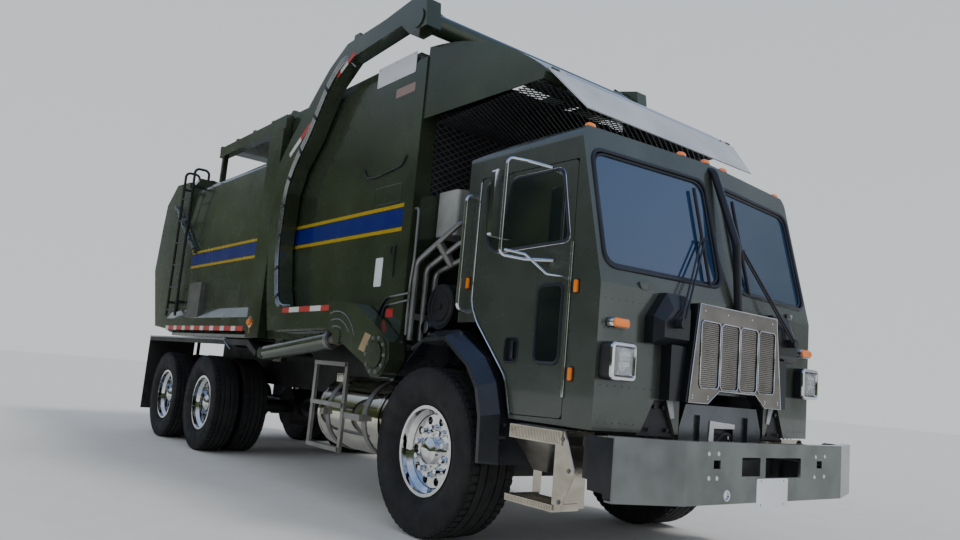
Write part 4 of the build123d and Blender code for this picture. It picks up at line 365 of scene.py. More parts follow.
def skin(bm, rings, looped=False):
    """Joins rings of points into a skin, with flat ends or with the last ring joined to the first."""
    rows = [[bm.verts.new(point) for point in ring] for ring in rings]
    if looped:
        rows.append(rows[0])
    faces = []
    for first, second in zip(rows, rows[1:]):
        for i in range(len(first)):
            j = (i + 1) % len(first)
            faces.append(bm.faces.new((first[i], first[j], second[j], second[i])))
    if not looped:
        faces += [bm.faces.new(rows[0][::-1]), bm.faces.new(rows[-1])]
    return faces


def slab(bm, outline, reach, ease=0.0):
    """A flat outline pushed out along a vector, with its edges eased."""
    faces = skin(bm, [outline, [point + reach for point in outline]])
    if ease:
        edges = list(dict.fromkeys(edge for face in faces for edge in face.edges))
        bmesh.ops.bevel(bm, geom=edges, offset=ease, segments=2, profile=0.5, affect="EDGES")


def circle(centre, axis, radius, sides):
    """Points round an axis."""
    across = axis.orthogonal().normalized()
    up = axis.normalized().cross(across)
    return [centre + (across * math.cos(a) + up * math.sin(a)) * radius for a in angles_round(sides)]


def turned(bm, profile, origin, axis, sides=48, looped=False):
    """A profile of radius and distance along an axis, turned round it."""
    skin(bm, [circle(origin + axis * along, axis, radius, sides) for radius, along in profile], looped)


def bar(bm, start, end, radius, sides=14):
    """A round bar between two points."""
    skin(bm, [circle(point, end - start, radius, sides) for point in (start, end)])


def rounded(points, radius, steps=5, closed=True):
    """A line of points with every corner rounded off."""
    result = []
    count = len(points)
    for i, corner in enumerate(points):
        if not closed and i in (0, count - 1):
            result.append(corner)
            continue
        back = points[i - 1] - corner
        ahead = points[(i + 1) % count] - corner
        start = corner + back.normalized() * min(radius, back.length * 0.49)
        end = corner + ahead.normalized() * min(radius, ahead.length * 0.49)
        for step in range(steps + 1):
            share = step / steps
            result.append(start * (1 - share) ** 2 + corner * 2 * share * (1 - share) + end * share ** 2)
    return result


def tube(bm, path, radius, sides=10, closed=False):
    """A round tube that follows a line of points."""
    count = len(path)
    rings = []
    normal = None
    for i, point in enumerate(path):
        before = path[i - 1] if closed or i else point
        after = path[(i + 1) % count] if closed or i < count - 1 else point
        along = (after - before).normalized()
        normal = along.orthogonal() if normal is None else normal - along * normal.dot(along)
        normal.normalize()
        side = along.cross(normal)
        rings.append([point + (normal * math.cos(a) + side * math.sin(a)) * radius
                      for a in angles_round(sides)])
    skin(bm, rings, looped=closed)


def to_mesh(bm, name):
    """The mesh of a shape whose faces are first turned outwards."""
    bmesh.ops.recalc_face_normals(bm, faces=bm.faces)
    mesh = bpy.data.meshes.new(name)
    bm.to_mesh(mesh)
    bm.free()
    return mesh


def add_object(name, data):
    """A new object in the scene."""
    thing = bpy.data.objects.new(name, data)
    bpy.context.scene.collection.objects.link(thing)
    return thing


def as_shown(thing):
    """A new mesh of an object as its modifiers leave it."""
    return bpy.data.meshes.new_from_object(thing.evaluated_get(bpy.context.evaluated_depsgraph_get()))


def keep(name, mesh, material, body, replaced=(), crease=35):
    """Makes a finished piece of a mesh: its finish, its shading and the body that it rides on."""
    mesh.name = name
    mesh.materials.clear()
    mesh.materials.append(material)
    mesh.shade_smooth()
    mesh.set_sharp_from_angle(angle=math.radians(crease))
    thing = add_object(name, mesh)
    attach(thing, body)
    if replaced:
        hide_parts(*replaced)
    return thing


def piece(name, make, material, body, slot, replaced=(), crease=35):
    """A piece whose mesh one function makes, with its doubles merged."""
    bm = bmesh.new()
    make(bm)
    bmesh.ops.remove_doubles(bm, verts=bm.verts, dist=1e-6)
    keep(name, to_mesh(bm, name), material, body, replaced, crease)


# Node trees for what repeats

def new_tree(name, sizes):
    """A tree with seed points, named sizes and a finish going in, and pieces coming out."""
    tree = bpy.data.node_groups.new(name, "GeometryNodeTree")
    tree.interface.new_socket("Seeds", in_out="INPUT", socket_type="NodeSocketGeometry")
    for label in sizes:
        tree.interface.new_socket(label, in_out="INPUT", socket_type="NodeSocketFloat")
    tree.interface.new_socket("Finish", in_out="INPUT", socket_type="NodeSocketMaterial")
    tree.interface.new_socket("Pieces", in_out="OUTPUT", socket_type="NodeSocketGeometry")
    return tree, tree.nodes.new("NodeGroupInput"), tree.nodes.new("NodeGroupOutput")


def times(tree, value, factor):
    """A size multiplied by a factor."""
    return reckon(tree, "MULTIPLY", value, factor)


def raised(tree, geometry, height):
    """Geometry lifted by a height."""
    shift = add_node(tree, "ShaderNodeCombineXYZ", {"Z": height}).outputs[0]
    return add_node(tree, "GeometryNodeTransform", {"Geometry": geometry, "Translation": shift}).outputs[0]


def joined(tree, *parts):
    """Several shapes as one."""
    join = tree.nodes.new("GeometryNodeJoinGeometry")
    for part in parts:
        tree.links.new(part, join.inputs[0])
    return join.outputs[0]


def end_tree(tree, way_in, way_out, geometry):
    """Makes the pieces real, gives them their finish and sends them out."""
    real = add_node(tree, "GeometryNodeRealizeInstances", {0: geometry}).outputs[0]
    finish = add_node(tree, "GeometryNodeSetMaterial",
                      {"Geometry": real, "Material": way_in.outputs["Finish"]})
    tree.links.new(finish.outputs[0], way_out.inputs[0])


def disc_item(tree, radius, height, sides):
    """A short round or many-sided disc that stands on its seed."""
    node = add_node(tree, "GeometryNodeMeshCylinder", {"Vertices": sides, "Radius": radius, "Depth": height})
    return raised(tree, node.outputs["Mesh"], times(tree, height, 0.5))


def bolt_item(tree, sizes):
    """A hexagon head on its washer."""
    radius, height = sizes["Radius"], sizes["Height"]
    washer = disc_item(tree, times(tree, radius, 1.35), times(tree, height, 0.25), 12)
    return joined(tree, washer, disc_item(tree, radius, height, 6))


def rivet_item(tree, sizes):
    """A low domed head."""
    ball = add_node(tree, "GeometryNodeMeshUVSphere", {"Segments": 8, "Rings": 5, "Radius": sizes["Radius"]})
    scale = add_node(tree, "ShaderNodeCombineXYZ", {"X": 1.0, "Y": 1.0, "Z": sizes["Flatness"]}).outputs[0]
    low = add_node(tree, "GeometryNodeTransform", {"Geometry": ball.outputs["Mesh"], "Scale": scale})
    return low.outputs[0]


def block_item(tree, sizes):
    """A block that stands on its seed."""
    size = add_node(tree, "ShaderNodeCombineXYZ",
                    {"X": sizes["Length"], "Y": sizes["Width"], "Z": sizes["Height"]}).outputs[0]
    cube = add_node(tree, "GeometryNodeMeshCube", {"Size": size})
    return raised(tree, cube.outputs["Mesh"], times(tree, sizes["Height"], 0.5))


def cell_item(tree, sizes):
    """One square cell of a perforated sheet: a flat with a round hole and the hole's wall."""
    ring = add_node(tree, "GeometryNodeMeshCircle", {"Vertices": 8, "Radius": sizes["Hole"]}).outputs["Mesh"]
    still = add_node(tree, "GeometryNodeExtrudeMesh", {"Mesh": ring, "Offset Scale": 0.0}, mode="EDGES")
    place = tree.nodes.new("GeometryNodeInputPosition").outputs[0]
    x, y, _ = split_place(tree, place)
    reach = reckon(tree, "MAXIMUM", reckon(tree, "ABSOLUTE", x), reckon(tree, "ABSOLUTE", y))
    grow = reckon(tree, "DIVIDE", times(tree, sizes["Pitch"], 0.5), reach)
    square = add_node(tree, "ShaderNodeVectorMath", {0: place, "Scale": grow}, operation="SCALE")
    flat = add_node(tree, "GeometryNodeSetPosition", {"Geometry": still.outputs["Mesh"],
                                                      "Selection": still.outputs["Top"],
                                                      "Position": square.outputs[0]})
    down = add_node(tree, "ShaderNodeCombineXYZ", {"Z": times(tree, sizes["Depth"], -1.0)}).outputs[0]
    wall = add_node(tree, "GeometryNodeExtrudeMesh", {"Mesh": ring, "Offset": down, "Offset Scale": 1.0},
                    mode="EDGES")
    return joined(tree, flat.outputs[0], wall.outputs["Mesh"])


def item_tree(name, sizes, make_item):
    """A tree that sets one item on every seed, its top facing the way that the seed faces."""
    tree, way_in, way_out = new_tree(name, sizes)
    item = make_item(tree, {label: way_in.outputs[label] for label in sizes})
    turn = None
    for label, axis, pivot in (("facing", "Z", "AUTO"), ("along", "X", "Z")):
        read = add_node(tree, "GeometryNodeInputNamedAttribute", {"Name": label}, data_type="FLOAT_VECTOR")
        aim = add_node(tree, "FunctionNodeAlignRotationToVector", {"Vector": read.outputs["Attribute"]},
                       axis=axis, pivot_axis=pivot)
        if turn:
            tree.links.new(turn, aim.inputs["Rotation"])
        turn = aim.outputs["Rotation"]
    place = add_node(tree, "GeometryNodeInstanceOnPoints",
                     {"Points": way_in.outputs["Seeds"], "Instance": item, "Rotation": turn})
    end_tree(tree, way_in, way_out, place.outputs[0])
    return tree


def wire_tree(name):
    """A tree that turns every seed edge into a wire."""
    tree, way_in, way_out = new_tree(name, ["Radius"])
    curve = add_node(tree, "GeometryNodeMeshToCurve", {"Mesh": way_in.outputs["Seeds"]})
    ring = add_node(tree, "GeometryNodeCurvePrimitiveCircle",
                    {"Resolution": 4, "Radius": way_in.outputs["Radius"]})
    wire = add_node(tree, "GeometryNodeCurveToMesh",
                    {"Curve": curve.outputs[0], "Profile Curve": ring.outputs[0], "Fill Caps": True})
    end_tree(tree, way_in, way_out, wire.outputs[0])
    return tree


BOLTS = item_tree("bolts", ["Radius", "Height"], bolt_item)
RIVETS = item_tree("rivets", ["Radius", "Flatness"], rivet_item)
BLOCKS = item_tree("blocks", ["Length", "Width", "Height"], block_item)
CELLS = item_tree("perforations", ["Pitch", "Hole", "Depth"], cell_item)
WIRES = wire_tree("wires")


def grown(name, seeds, tree, sizes, material, body, replaced=()):
    """Runs a tree on a seed mesh and keeps the result as a plain mesh."""
    holder = add_object(name + "_seeds", seeds)
    modifier = holder.modifiers.new("items", "NODES")
    modifier.node_group = tree
    for socket in tree.interface.items_tree:
        if socket.in_out == "INPUT" and socket.name in sizes:
            modifier[socket.identifier] = sizes[socket.name]
        if socket.name == "Finish":
            modifier[socket.identifier] = material
    mesh = as_shown(holder)
    bpy.data.objects.remove(holder)
    keep(name, mesh, material, body, replaced)


def scatter(name, places, tree, sizes, material, body, slot, replaced=()):
    """The same small item at many places, each a point, the way that it faces and the way along it."""
    mesh = bpy.data.meshes.new(name + "_seeds")
    mesh.from_pydata([place[0] for place in places], [], [])
    for label, column in (("facing", 1), ("along", 2)):
        attribute = mesh.attributes.new(label, "FLOAT_VECTOR", "POINT")
        attribute.data.foreach_set("vector", [c for place in places for c in place[column]])
    grown(name, mesh, tree, sizes, material, body, replaced)


FORWARD = Vector((1, 0, 0))
LEFTWARD = Vector((0, 1, 0))
UPWARD = Vector((0, 0, 1))


# Lamps

def rounded_box(x, y, z, half_y, half_z, radius):
    """A rounded rectangle across the truck, as points round its middle."""
    corners = box_outline((y - half_y, z - half_z), (y + half_y, z + half_z))
    return rounded(on_front(corners, x), radius, 4)


def nested(bm, y, z, steps, half, radius, looped=True):
    """Rounded rectangles one inside the other, each given by its X and by how far it is drawn in."""
    half_y, half_z = half
    rings = [rounded_box(x, y, z, half_y - inset, half_z - inset, max(radius - inset, 0.004))
             for x, inset in steps]
    skin(bm, rings, looped)


# Each lamp's Y and Z, its half width and half height, and its corners' radius
HEADLAMP = (0.974, 1.221, (0.105, 0.105), 0.038)
TURN_SIGNAL = (0.974, 1.432, (0.072, 0.030), 0.028)


def lamp_housings(bm):
    """The black housings of the headlamps and the bases of the markers."""
    y, z, half, radius = HEADLAMP
    for side in SIDES:
        nested(bm, side * y, z, [(1.402, 0.0), (1.471, 0.0), (1.471, 0.012), (1.44, 0.014)],
               half, radius)
    for place in roof_markers():
        dome(bm, place, [(0.032, 0.044, -0.040), (0.032, 0.044, 0.006), (0.030, 0.042, 0.009)])
    for place, side in side_markers():
        marker_block(bm, place, side, 0.0, 0.018, 0.042, 0.006)


def roof_markers():
    """Where the five roof markers stand, along the roof's front edge."""
    return [at(1.231 - CAB_SWEEP * abs(y) / CAB_SIDE, y, 2.604 - 0.004 * (abs(y) > 1)) for y in
            (-1.005, -0.229, 0.0, 0.229, 1.005)]


def dome(bm, place, rings):
    """An oval dome, as rings that each have a half length, a half width and a height."""
    skin(bm, [[place + Vector((half_x * math.cos(a), half_y * math.sin(a), height)) for a in angles_round(24)]
              for half_x, half_y, height in rings])


def side_markers():
    """Where the side markers sit on the cab, and on which side."""
    return [(at(x, side * CAB_SIDE, z), side) for side in SIDES
            for x, z in ((0.190, 1.687), (1.213, 1.629), (1.213, 1.131))]


def marker_block(bm, place, side, start, half_x, half_z, reach):
    """A rounded block that stands out of the cab's side."""
    corners = box_outline((-half_x, -half_z), (half_x, half_z))
    outline = rounded([place + Vector((dx, side * start, dz)) for dx, dz in corners], 0.009, 3)
    slab(bm, outline, outward(side, reach))


def lamp_bezels(bm):
    """The bright rings inside the headlamp housings and round the turn signals."""
    y, z, half, radius = HEADLAMP
    turn_y, turn_z, turn_half, turn_radius = TURN_SIGNAL
    ring = [(1.4713, 0.001), (1.480, 0.000), (1.4865, 0.004), (1.4895, 0.011), (1.4895, 0.019),
            (1.474, 0.029), (1.458, 0.030)]
    thin_ring = [(1.404, 0.0), (1.440, 0.0), (1.447, 0.003), (1.444, 0.007), (1.425, 0.0075)]
    for side in SIDES:
        nested(bm, side * y, z, ring, half, radius)
        nested(bm, side * turn_y, turn_z, thin_ring, turn_half, turn_radius)


def lamp_reflectors(bm):
    """The headlamps' upper and lower bowls, each with its bulb."""
    y, z = HEADLAMP[:2]
    bowl = [(1.415, 0.002), (1.4735, 0.002), (1.458, 0.008), (1.440, 0.022), (1.432, 0.034)]
    bulb = [(0.0, 0.0), (0.010, 0.0), (0.010, 0.020), (0.006, 0.026), (0.0, 0.027)]
    for side in SIDES:
        for shift in (-0.038, 0.038):
            nested(bm, side * y, z + shift, bowl, (0.076, 0.038), 0.012, looped=False)
            turned(bm, bulb, at(1.431, side * y, z + shift), FORWARD, 16)


def lamp_glass(bm):
    """The headlamps' clear covers, slightly domed."""
    y, z, half, radius = HEADLAMP
    cover = [(1.4745, 0.0285), (1.4790, 0.0285), (1.4850, 0.040), (1.4880, 0.070)]
    for side in SIDES:
        nested(bm, side * y, z, cover, half, radius, looped=False)


def amber_lenses(bm):
    """The turn signals, roof domes and side markers."""
    y, z, half, radius = TURN_SIGNAL
    lens = [(1.426, 0.0075), (1.450, 0.0075), (1.4560, 0.0110), (1.4578, 0.0180)]
    for side in SIDES:
        nested(bm, side * y, z, lens, half, radius, looped=False)
    rings = [(0.029, 0.041, 0.008), (0.0285, 0.040, 0.020), (0.025, 0.036, 0.030), (0.017, 0.026, 0.0365),
             (0.008, 0.012, 0.0385)]
    for place in roof_markers():
        dome(bm, place, rings)
    for place, side in side_markers():
        marker_block(bm, place, side, 0.005, 0.0135, 0.036, 0.0125)


piece("lamp_housings", lamp_housings, dark_plastic, "cab", "black_plastic", ["cab_lamps"])
piece("lamp_bezels", lamp_bezels, bright_metal, "cab", "bright", ["cab_lamps"])
piece("lamp_reflectors", lamp_reflectors, bright_metal, "cab", "bright", ["cab_lamps"])
piece("lamp_glass", lamp_glass, clear_glass, "cab", "window", ["cab_lamps"])
piece("amber_lenses", amber_lenses, amber, "cab", "lamp", ["cab_lamps"])


# Seals, trim and rivets of the cab

def glass_point(y, share, out=0.0):
    """A point on the windshield's face, at a share of its height and this far in front of it."""
    (foot_x, foot_z), (head_x, head_z) = GLASS_FOOT, GLASS_HEAD
    x = foot_x - CAB_SWEEP * abs(y) / CAB_SIDE - share * (foot_x - head_x)
    rise = head_z - foot_z
    facing = Vector((rise, math.copysign(rise * CAB_SWEEP / CAB_SIDE, y), foot_x - head_x))
    return at(x, y, foot_z + share * rise) + facing.normalized() * out


def pane_outline(side, inset, out):
    """The windshield pane's rounded outline, drawn in by a distance."""
    low, high = 0.035 + inset / GLASS_LENGTH, 0.965 - inset / GLASS_LENGTH
    corners = [(0.085 + inset, low), (1.055 - inset, low), (1.050 - inset, high), (0.085 + inset, high)]
    return rounded([glass_point(side * y, share, out) for y, share in corners], 0.095, 8)


def windshield_seals(bm):
    """Two rubber lips round each pane."""
    for side in SIDES:
        tube(bm, pane_outline(side, 0.000, 0.000), 0.013, 10, True)
        tube(bm, pane_outline(side, 0.019, -0.010), 0.009, 10, True)


def seal_line(bm, side, outline, corner, y, radius):
    """A rubber lip round an opening in the cab's side."""
    tube(bm, rounded(on_side(outline, side, y), corner, 6), radius, 8, True)


DOOR_WINDOW = [(1.036, 2.352), (1.126, 1.902), (0.430, 1.882), (0.350, 1.952), (0.305, 2.356)]
WINDOW_CORNER = 0.055
LOWER_WINDOW = box_outline((0.890, 1.185), (1.100, 1.647))
HANDLE_RECESS = box_outline((0.616, 1.177), (0.740, 1.327))
HINGE_KNUCKLES = 19


def door_seals(side):
    """The rubber lips round a door's two windows and its handle recess."""
    def make(bm):
        seal_line(bm, side, DOOR_WINDOW, WINDOW_CORNER, CAB_SIDE, 0.011)
        seal_line(bm, side, LOWER_WINDOW, 0.048, CAB_SIDE, 0.011)
        seal_line(bm, side, HANDLE_RECESS, 0.030, CAB_SIDE, 0.006)
        slab(bm, rounded(on_side(HANDLE_RECESS, side, 1.0765), 0.025, 4), outward(side, 0.002))
        lever = on_side(box_outline((0.664, 1.20), (0.692, 1.305)), side, 1.083)
        slab(bm, lever, outward(side, 0.014), 0.004)
    return make


def door_panes(side):
    """A door's two panes, which sit in their lips."""
    def make(bm):
        for outline in (DOOR_WINDOW, LOWER_WINDOW):
            slab(bm, rounded(on_side(outline, side, DOOR_SKIN), WINDOW_CORNER, 6), outward(side, 0.002))
    return make


def window_rod(side):
    """The thin bright line round a door's window."""
    def make(bm):
        low, high = Vector((0.0, -0.010)), Vector((0.0, 0.010))
        shifts = [high + Vector((0.008, 0)), low + Vector((0.011, 0)), low, low + Vector((-0.010, 0.004)),
                  high + Vector((-0.010, 0))]
        line = [at(x + s.x, side * (CAB_SIDE + 0.001), z + s.y) for (x, z), s in zip(DOOR_WINDOW, shifts)]
        tube(bm, rounded(line, 0.06, 6), 0.0035, 6, True)
    return make


def hinge_rod(side):
    """The bright rod of a door's long hinge, with its knuckle rings."""
    def make(bm):
        start, end = at(1.160, side * 1.1095, 0.998), at(1.160, side * 1.1095, 1.892)
        bar(bm, start, end, 0.0092)
        for i in range(HINGE_KNUCKLES):
            middle = start + (end - start) * ((i + 0.5) / HINGE_KNUCKLES)
            bar(bm, middle - UPWARD * 0.002, middle + UPWARD * 0.002, 0.0108)
    return make


def door_edge_trim(bm):
    """The thin bright strip on the cab, behind the doors and along their sloping lower edges."""
    line = [(0.236, 2.380), (0.236, 1.556), (0.305, 1.432), (0.641, 1.088), (0.706, 0.868)]
    for side in SIDES:
        tube(bm, rounded(on_side(line, side, 1.1015), 0.05, 5, False), 0.0055, 8)


def cab_rivets():
    """Rows of small rivets across the cab's front and round its windshield."""
    places = []
    for side in SIDES:
        across_front = Vector((-CAB_SWEEP / CAB_SIDE * side, 1, 0)).normalized()
        facing = Vector((1, side * CAB_SWEEP / CAB_SIDE, 0)).normalized()
        for z, start, end, count in ((1.565, 0.80, 1.06, 6), (1.085, 0.68, 1.06, 8), (0.885, 0.80, 1.06, 6)):
            for i in range(count):
                y = start + (end - start) * i / (count - 1)
                places.append((at(NOSE_X - CAB_SWEEP * y / CAB_SIDE, side * y, z), facing, across_front))
        for x in (0.16, 0.20):
            for i in range(12):
                places.append((at(x, side * CAB_SIDE, 1.78 + 0.05 * i), LEFTWARD * side, UPWARD))
    return places


def glass_tabs(bm):
    """The small rounded tab under each pane."""
    outline = [(0.72, 1.690), (0.82, 1.690), (0.80, 1.648), (0.74, 1.648)]
    for side in SIDES:
        corners = [at(1.507 - CAB_SWEEP * y / CAB_SIDE, side * y, z) for y, z in outline]
        slab(bm, rounded(corners, 0.014, 4), FORWARD * -0.012, 0.001)


piece("windshield_seals", windshield_seals, seal_rubber, "cab", "black_plastic", crease=60)
piece("door_edge_trim", door_edge_trim, bright_metal, "cab", "bright")
piece("glass_tabs", glass_tabs, cab_green, "cab", "body_paint")
for side, word in SIDE_NAMES.items():
    door = f"door_{word}"
    piece(f"door_panes_{word}", door_panes(side), door_glass_dark, door, "window", [f"door_glass_{word}"])
    piece(f"door_seals_{word}", door_seals(side), seal_rubber, door, "black_plastic")
    piece(f"window_rod_{word}", window_rod(side), bright_metal, door, "bright", crease=60)
    piece(f"hinge_rod_{word}", hinge_rod(side), bright_metal, door, "bright")
scatter("cab_rivets", cab_rivets(), RIVETS, {"Radius": 0.0055, "Flatness": 0.4}, cab_green, "cab",
        "body_paint")


# Grille, its brackets and the bumper

GRILLE_EDGE = [(-0.487, 1.033), (-0.302, 1.033), (-0.191, 1.111), (0.191, 1.111),
               (0.302, 1.033), (0.487, 1.033), (0.409, 1.612), (-0.409, 1.612)]
PANEL_MIDDLES = [0.2 * (i - 1.5) for i in range(4)]
PANEL_HALF = 0.091
PANEL_BOTTOM = 1.122
PANEL_TOP = 1.515
CELL = 0.0118


def grille_beads(bm):
    """Bright lines round the grille's frame and round each of its four panels."""
    tube(bm, on_front(GRILLE_EDGE, 1.5512), 0.0036, 8, True)
    half, cut = PANEL_HALF + 0.0025, 0.018
    for middle in PANEL_MIDDLES:
        corners = [(-half, PANEL_BOTTOM + cut), (cut - half, PANEL_BOTTOM), (half - cut, PANEL_BOTTOM),
                   (half, PANEL_BOTTOM + cut), (half, PANEL_TOP - cut), (half - cut, PANEL_TOP),
                   (cut - half, PANEL_TOP), (-half, PANEL_TOP - cut)]
        tube(bm, [at(1.5556, middle + dy, z) for dy, z in corners], 0.0036, 8, True)


def grille_cells():
    """The places of the perforated cells, in rows that are shifted by half a cell."""
    places = []
    rows = int((PANEL_TOP - PANEL_BOTTOM) / CELL)
    columns = int(2 * PANEL_HALF / CELL)
    for middle in PANEL_MIDDLES:
        for row in range(rows):
            z = PANEL_BOTTOM + (PANEL_TOP - PANEL_BOTTOM - (rows - 1) * CELL) / 2 + row * CELL
            for column in range(columns + row % 2):
                y = middle + (column - (columns - 1 + row % 2) / 2) * CELL
                corner_y = PANEL_HALF - abs(y - middle)
                corner_z = min(z - PANEL_BOTTOM, PANEL_TOP - z)
                if corner_y + corner_z > 0.020:
                    places.append((at(1.5500, y, z), FORWARD, LEFTWARD))
    return places


def grille_straps(bm):
    """The two pale straps beside the radiator's lower panel, as far down as they lift with the cab."""
    strap = [(0.560, 1.032), (0.505, 1.032), (0.480, 0.932), (0.514, 0.928)]
    for side in SIDES:
        slab(bm, [at(1.4530, side * y, z) for y, z in strap], FORWARD * 0.006, 0.0015)


def opening_angle(bm):
    """The pale angle over the opening in the radiator's lower panel."""
    angle = [(-0.130, 0.930), (0.128, 0.915), (0.128, 0.886), (-0.090, 0.886), (-0.090, 0.792),
             (-0.140, 0.792)]
    slab(bm, on_front(angle, 1.4515), FORWARD * 0.005, 0.001)


def nose_blacks(bm):
    """The black plates in the cab's two front recesses, with their bolts."""
    plate = [(0.553, 1.027), (0.643, 1.027), (0.752, 0.823), (0.463, 0.823)]
    for side in SIDES:
        corners = [at(NOSE_X - 0.0278 - CAB_SWEEP * y / CAB_SIDE, side * y, z) for y, z in plate]
        slab(bm, corners, FORWARD * 0.003)
        for y, z in ((0.56, 0.99), (0.63, 0.99), (0.52, 0.86), (0.67, 0.86)):
            bar(bm, at(1.42, side * y, z), at(1.447 - 0.098 * (y - 0.5), side * y, z), 0.012, 8)


def winch_drum(bm):
    """The dark winch behind the panel's opening, and the hose over it."""
    slab(bm, on_front(box_outline((-0.088, 0.792), (0.118, 0.883)), 1.400), FORWARD * 0.020, 0.004)
    hose = [at(1.44, -0.05, 0.80), at(1.462, 0.0, 0.86), at(1.462, 0.08, 0.85), at(1.44, 0.10, 0.80)]
    tube(bm, rounded(hose, 0.03, 5, False), 0.009, 8)


# Bolts by Y and Z; the plate by its ends in Y and in Z
BUMPER_BOLTS = [(-0.610, 0.773), (-0.524, 0.774), (-0.605, 0.645), (-0.533, 0.644),
                (0.493, 0.764), (0.603, 0.768), (0.482, 0.643), (0.597, 0.646)]
PLATE = (-0.150, 0.176, 0.479, 0.638)


def number_plate(bm):
    """A blank plate with its pressed rim."""
    y0, y1, z0, z1 = PLATE
    edge = box_outline((y0, z0), (y1, z1))
    slab(bm, rounded(on_front(edge, BUMPER_FACE - 0.0006), 0.012, 4), FORWARD * 0.0014)
    rim = box_outline((y0 + 0.004, z0 + 0.004), (y1 - 0.004, z1 - 0.004))
    tube(bm, rounded(on_front(rim, BUMPER_FACE + 0.0002), 0.010, 4), 0.0012, 6, True)


def tow_ring(bm):
    """The bright ring in the bumper's tow hole, and the hole's floor."""
    ring = [(0.030, -0.004), (0.031, 0.0), (0.028, 0.0012), (0.023, 0.0), (0.021, -0.020), (0.0238, -0.020)]
    hole = at(BUMPER_FACE, -0.434, 0.551)
    turned(bm, ring, hole, FORWARD, 28, True)
    bar(bm, hole - FORWARD * 0.026, hole - FORWARD * 0.008, 0.0236, 24)


def bumper_end_shade_plates(bm):
    """The black plates inside the bumper's two ends, with their step under the fender; their black is painted
    shade inside the open ends.
    """
    outline = [(1.642, 0.824), (1.642, 0.518), (1.588, 0.518), (1.588, 0.545), (1.478, 0.545), (1.478, 0.60),
               (1.440, 0.60), (1.440, 0.80), (1.478, 0.824)]
    for side in SIDES:
        slab(bm, on_side(outline, side, 1.190), outward(side, 0.008), 0.002)


def facing_front(x, points):
    """Places that face forward, each from its Y and Z."""
    return [(at(x, y, z), FORWARD, LEFTWARD) for y, z in points]


piece("grille_beads", grille_beads, bright_metal, "cab", "bright", crease=60)
scatter("grille_mesh", grille_cells(), CELLS, {"Pitch": CELL, "Hole": 0.0042, "Depth": 0.0025}, sheet_steel,
        "cab", "bright")
piece("grille_straps", grille_straps, bracket_white, "cab", "steel")
piece("opening_angle", opening_angle, bracket_white, "chassis", "steel")
piece("winch_drum", winch_drum, dark_plastic, "chassis", "black_plastic")
piece("nose_blacks", nose_blacks, dark_plastic, "cab", "black_plastic")
piece("number_plate", number_plate, plate_white, "chassis", "grey_plastic")
piece("tow_ring", tow_ring, bright_metal, "chassis", "bright")
# Black plates whose black is painted shade inside the bumper's open ends.
piece("bumper_end_shade_plates", bumper_end_shade_plates, dark_plastic, "chassis", "chassis_black")
scatter("bumper_bolts", facing_front(BUMPER_FACE - 0.001, BUMPER_BOLTS), RIVETS,
        {"Radius": 0.015, "Flatness": 0.15}, bright_metal, "chassis", "bright")
plate_screws = [(y, z) for y in (-0.105, 0.131) for z in (0.492, 0.624)]
scatter("plate_screws", facing_front(BUMPER_FACE + 0.0004, plate_screws), RIVETS,
        {"Radius": 0.006, "Flatness": 0.15}, dark_plastic, "chassis", "black_plastic")
grille_screws = [(y, z) for y in (-0.45, -0.30, 0.30, 0.45) for z in (1.06, 1.075)]
grille_screws += [(y, 1.575) for y in (-0.36, -0.13, 0.13, 0.36)]
scatter("grille_screws", facing_front(1.552, grille_screws), RIVETS, {"Radius": 0.006, "Flatness": 0.5},
        bright_metal, "cab", "bright")


# Tyres, nuts and hubs

def tyre_profile(radius, width, rim_width):
    """A tyre's half profile from bead to mid-tread, as radius and distance from its middle."""
    bead = rim_width / 2 - 0.0104
    crown = radius - 0.022
    line = [(0.2895, bead), (0.300, bead)]
    for radial in (0.306, 0.314, 0.322, 0.3225, 0.330, 0.3305, 0.345, 0.365, 0.39, 0.42, 0.45, 0.48, crown):
        share = (radial - 0.300) / (crown - 0.300)
        swell = math.sin(math.pi / 2 * min(share / 0.5, 1.0)) - 0.25 * max(share - 0.5, 0.0)
        ridge = 0.003 if 0.3223 < radial < 0.3303 else 0.0
        line.append((radial, bead + (width / 2 - bead) * swell + ridge))
    line += [(radius - 0.012, 0.455 * width), (radius - 0.009, 0.41 * width), (radius - 0.009, 0.285 * width)]
    for middle in (0.275, 0.11):
        groove = middle * width
        line += [(radius, groove + 0.006), (radius - 0.013, groove + 0.004), (radius - 0.013, groove - 0.004),
                 (radius, groove - 0.006)]
    return line


def tyre_form(x, sizes, centre_y, side):
    """One tyre with its sidewall ridge and tread grooves."""
    radius, width, rim_width = sizes
    half = tyre_profile(radius, width, rim_width)
    whole = half + [(radial, -along) for radial, along in reversed(half)]

    def make(bm):
        turned(bm, whole, at(x, side * centre_y, radius), LEFTWARD * side, 84, True)
    return make


def round_places(x, z, y, side, radius, count, shift=0.0):
    """Places evenly round a wheel's axis, each with the direction out from the axis."""
    places = []
    for i in range(count):
        angle = 2 * math.pi * (i + shift) / count
        out = Vector((math.cos(angle), 0, math.sin(angle)))
        along = Vector((-math.sin(angle), 0, math.cos(angle)))
        places.append((at(x, side * y, z) + out * radius, out, along))
    return places


def tread_blocks(x, sizes, centre_y, side, count):
    """The blocks of a tyre's two shoulders."""
    radius, width, _ = sizes
    places = []
    for hand in (-1, 1):
        y = centre_y + hand * 0.347 * width
        places += round_places(x, radius, y, side, radius - 0.0097, count, 0.25 * hand)
    return places


def shoulder_lugs(x, sizes, centre_y, side, count):
    """The lugs that run from a tyre's tread down its shoulder."""
    radius, width, _ = sizes
    places = []
    for hand in (-1, 1):
        y = centre_y + hand * (0.462 * width)
        for point, out, along in round_places(x, radius, y, side, radius - 0.026, count, 0.25 * hand):
            facing = (LEFTWARD * side * hand + out * 0.35).normalized()
            places.append((point, facing, along))
    return places


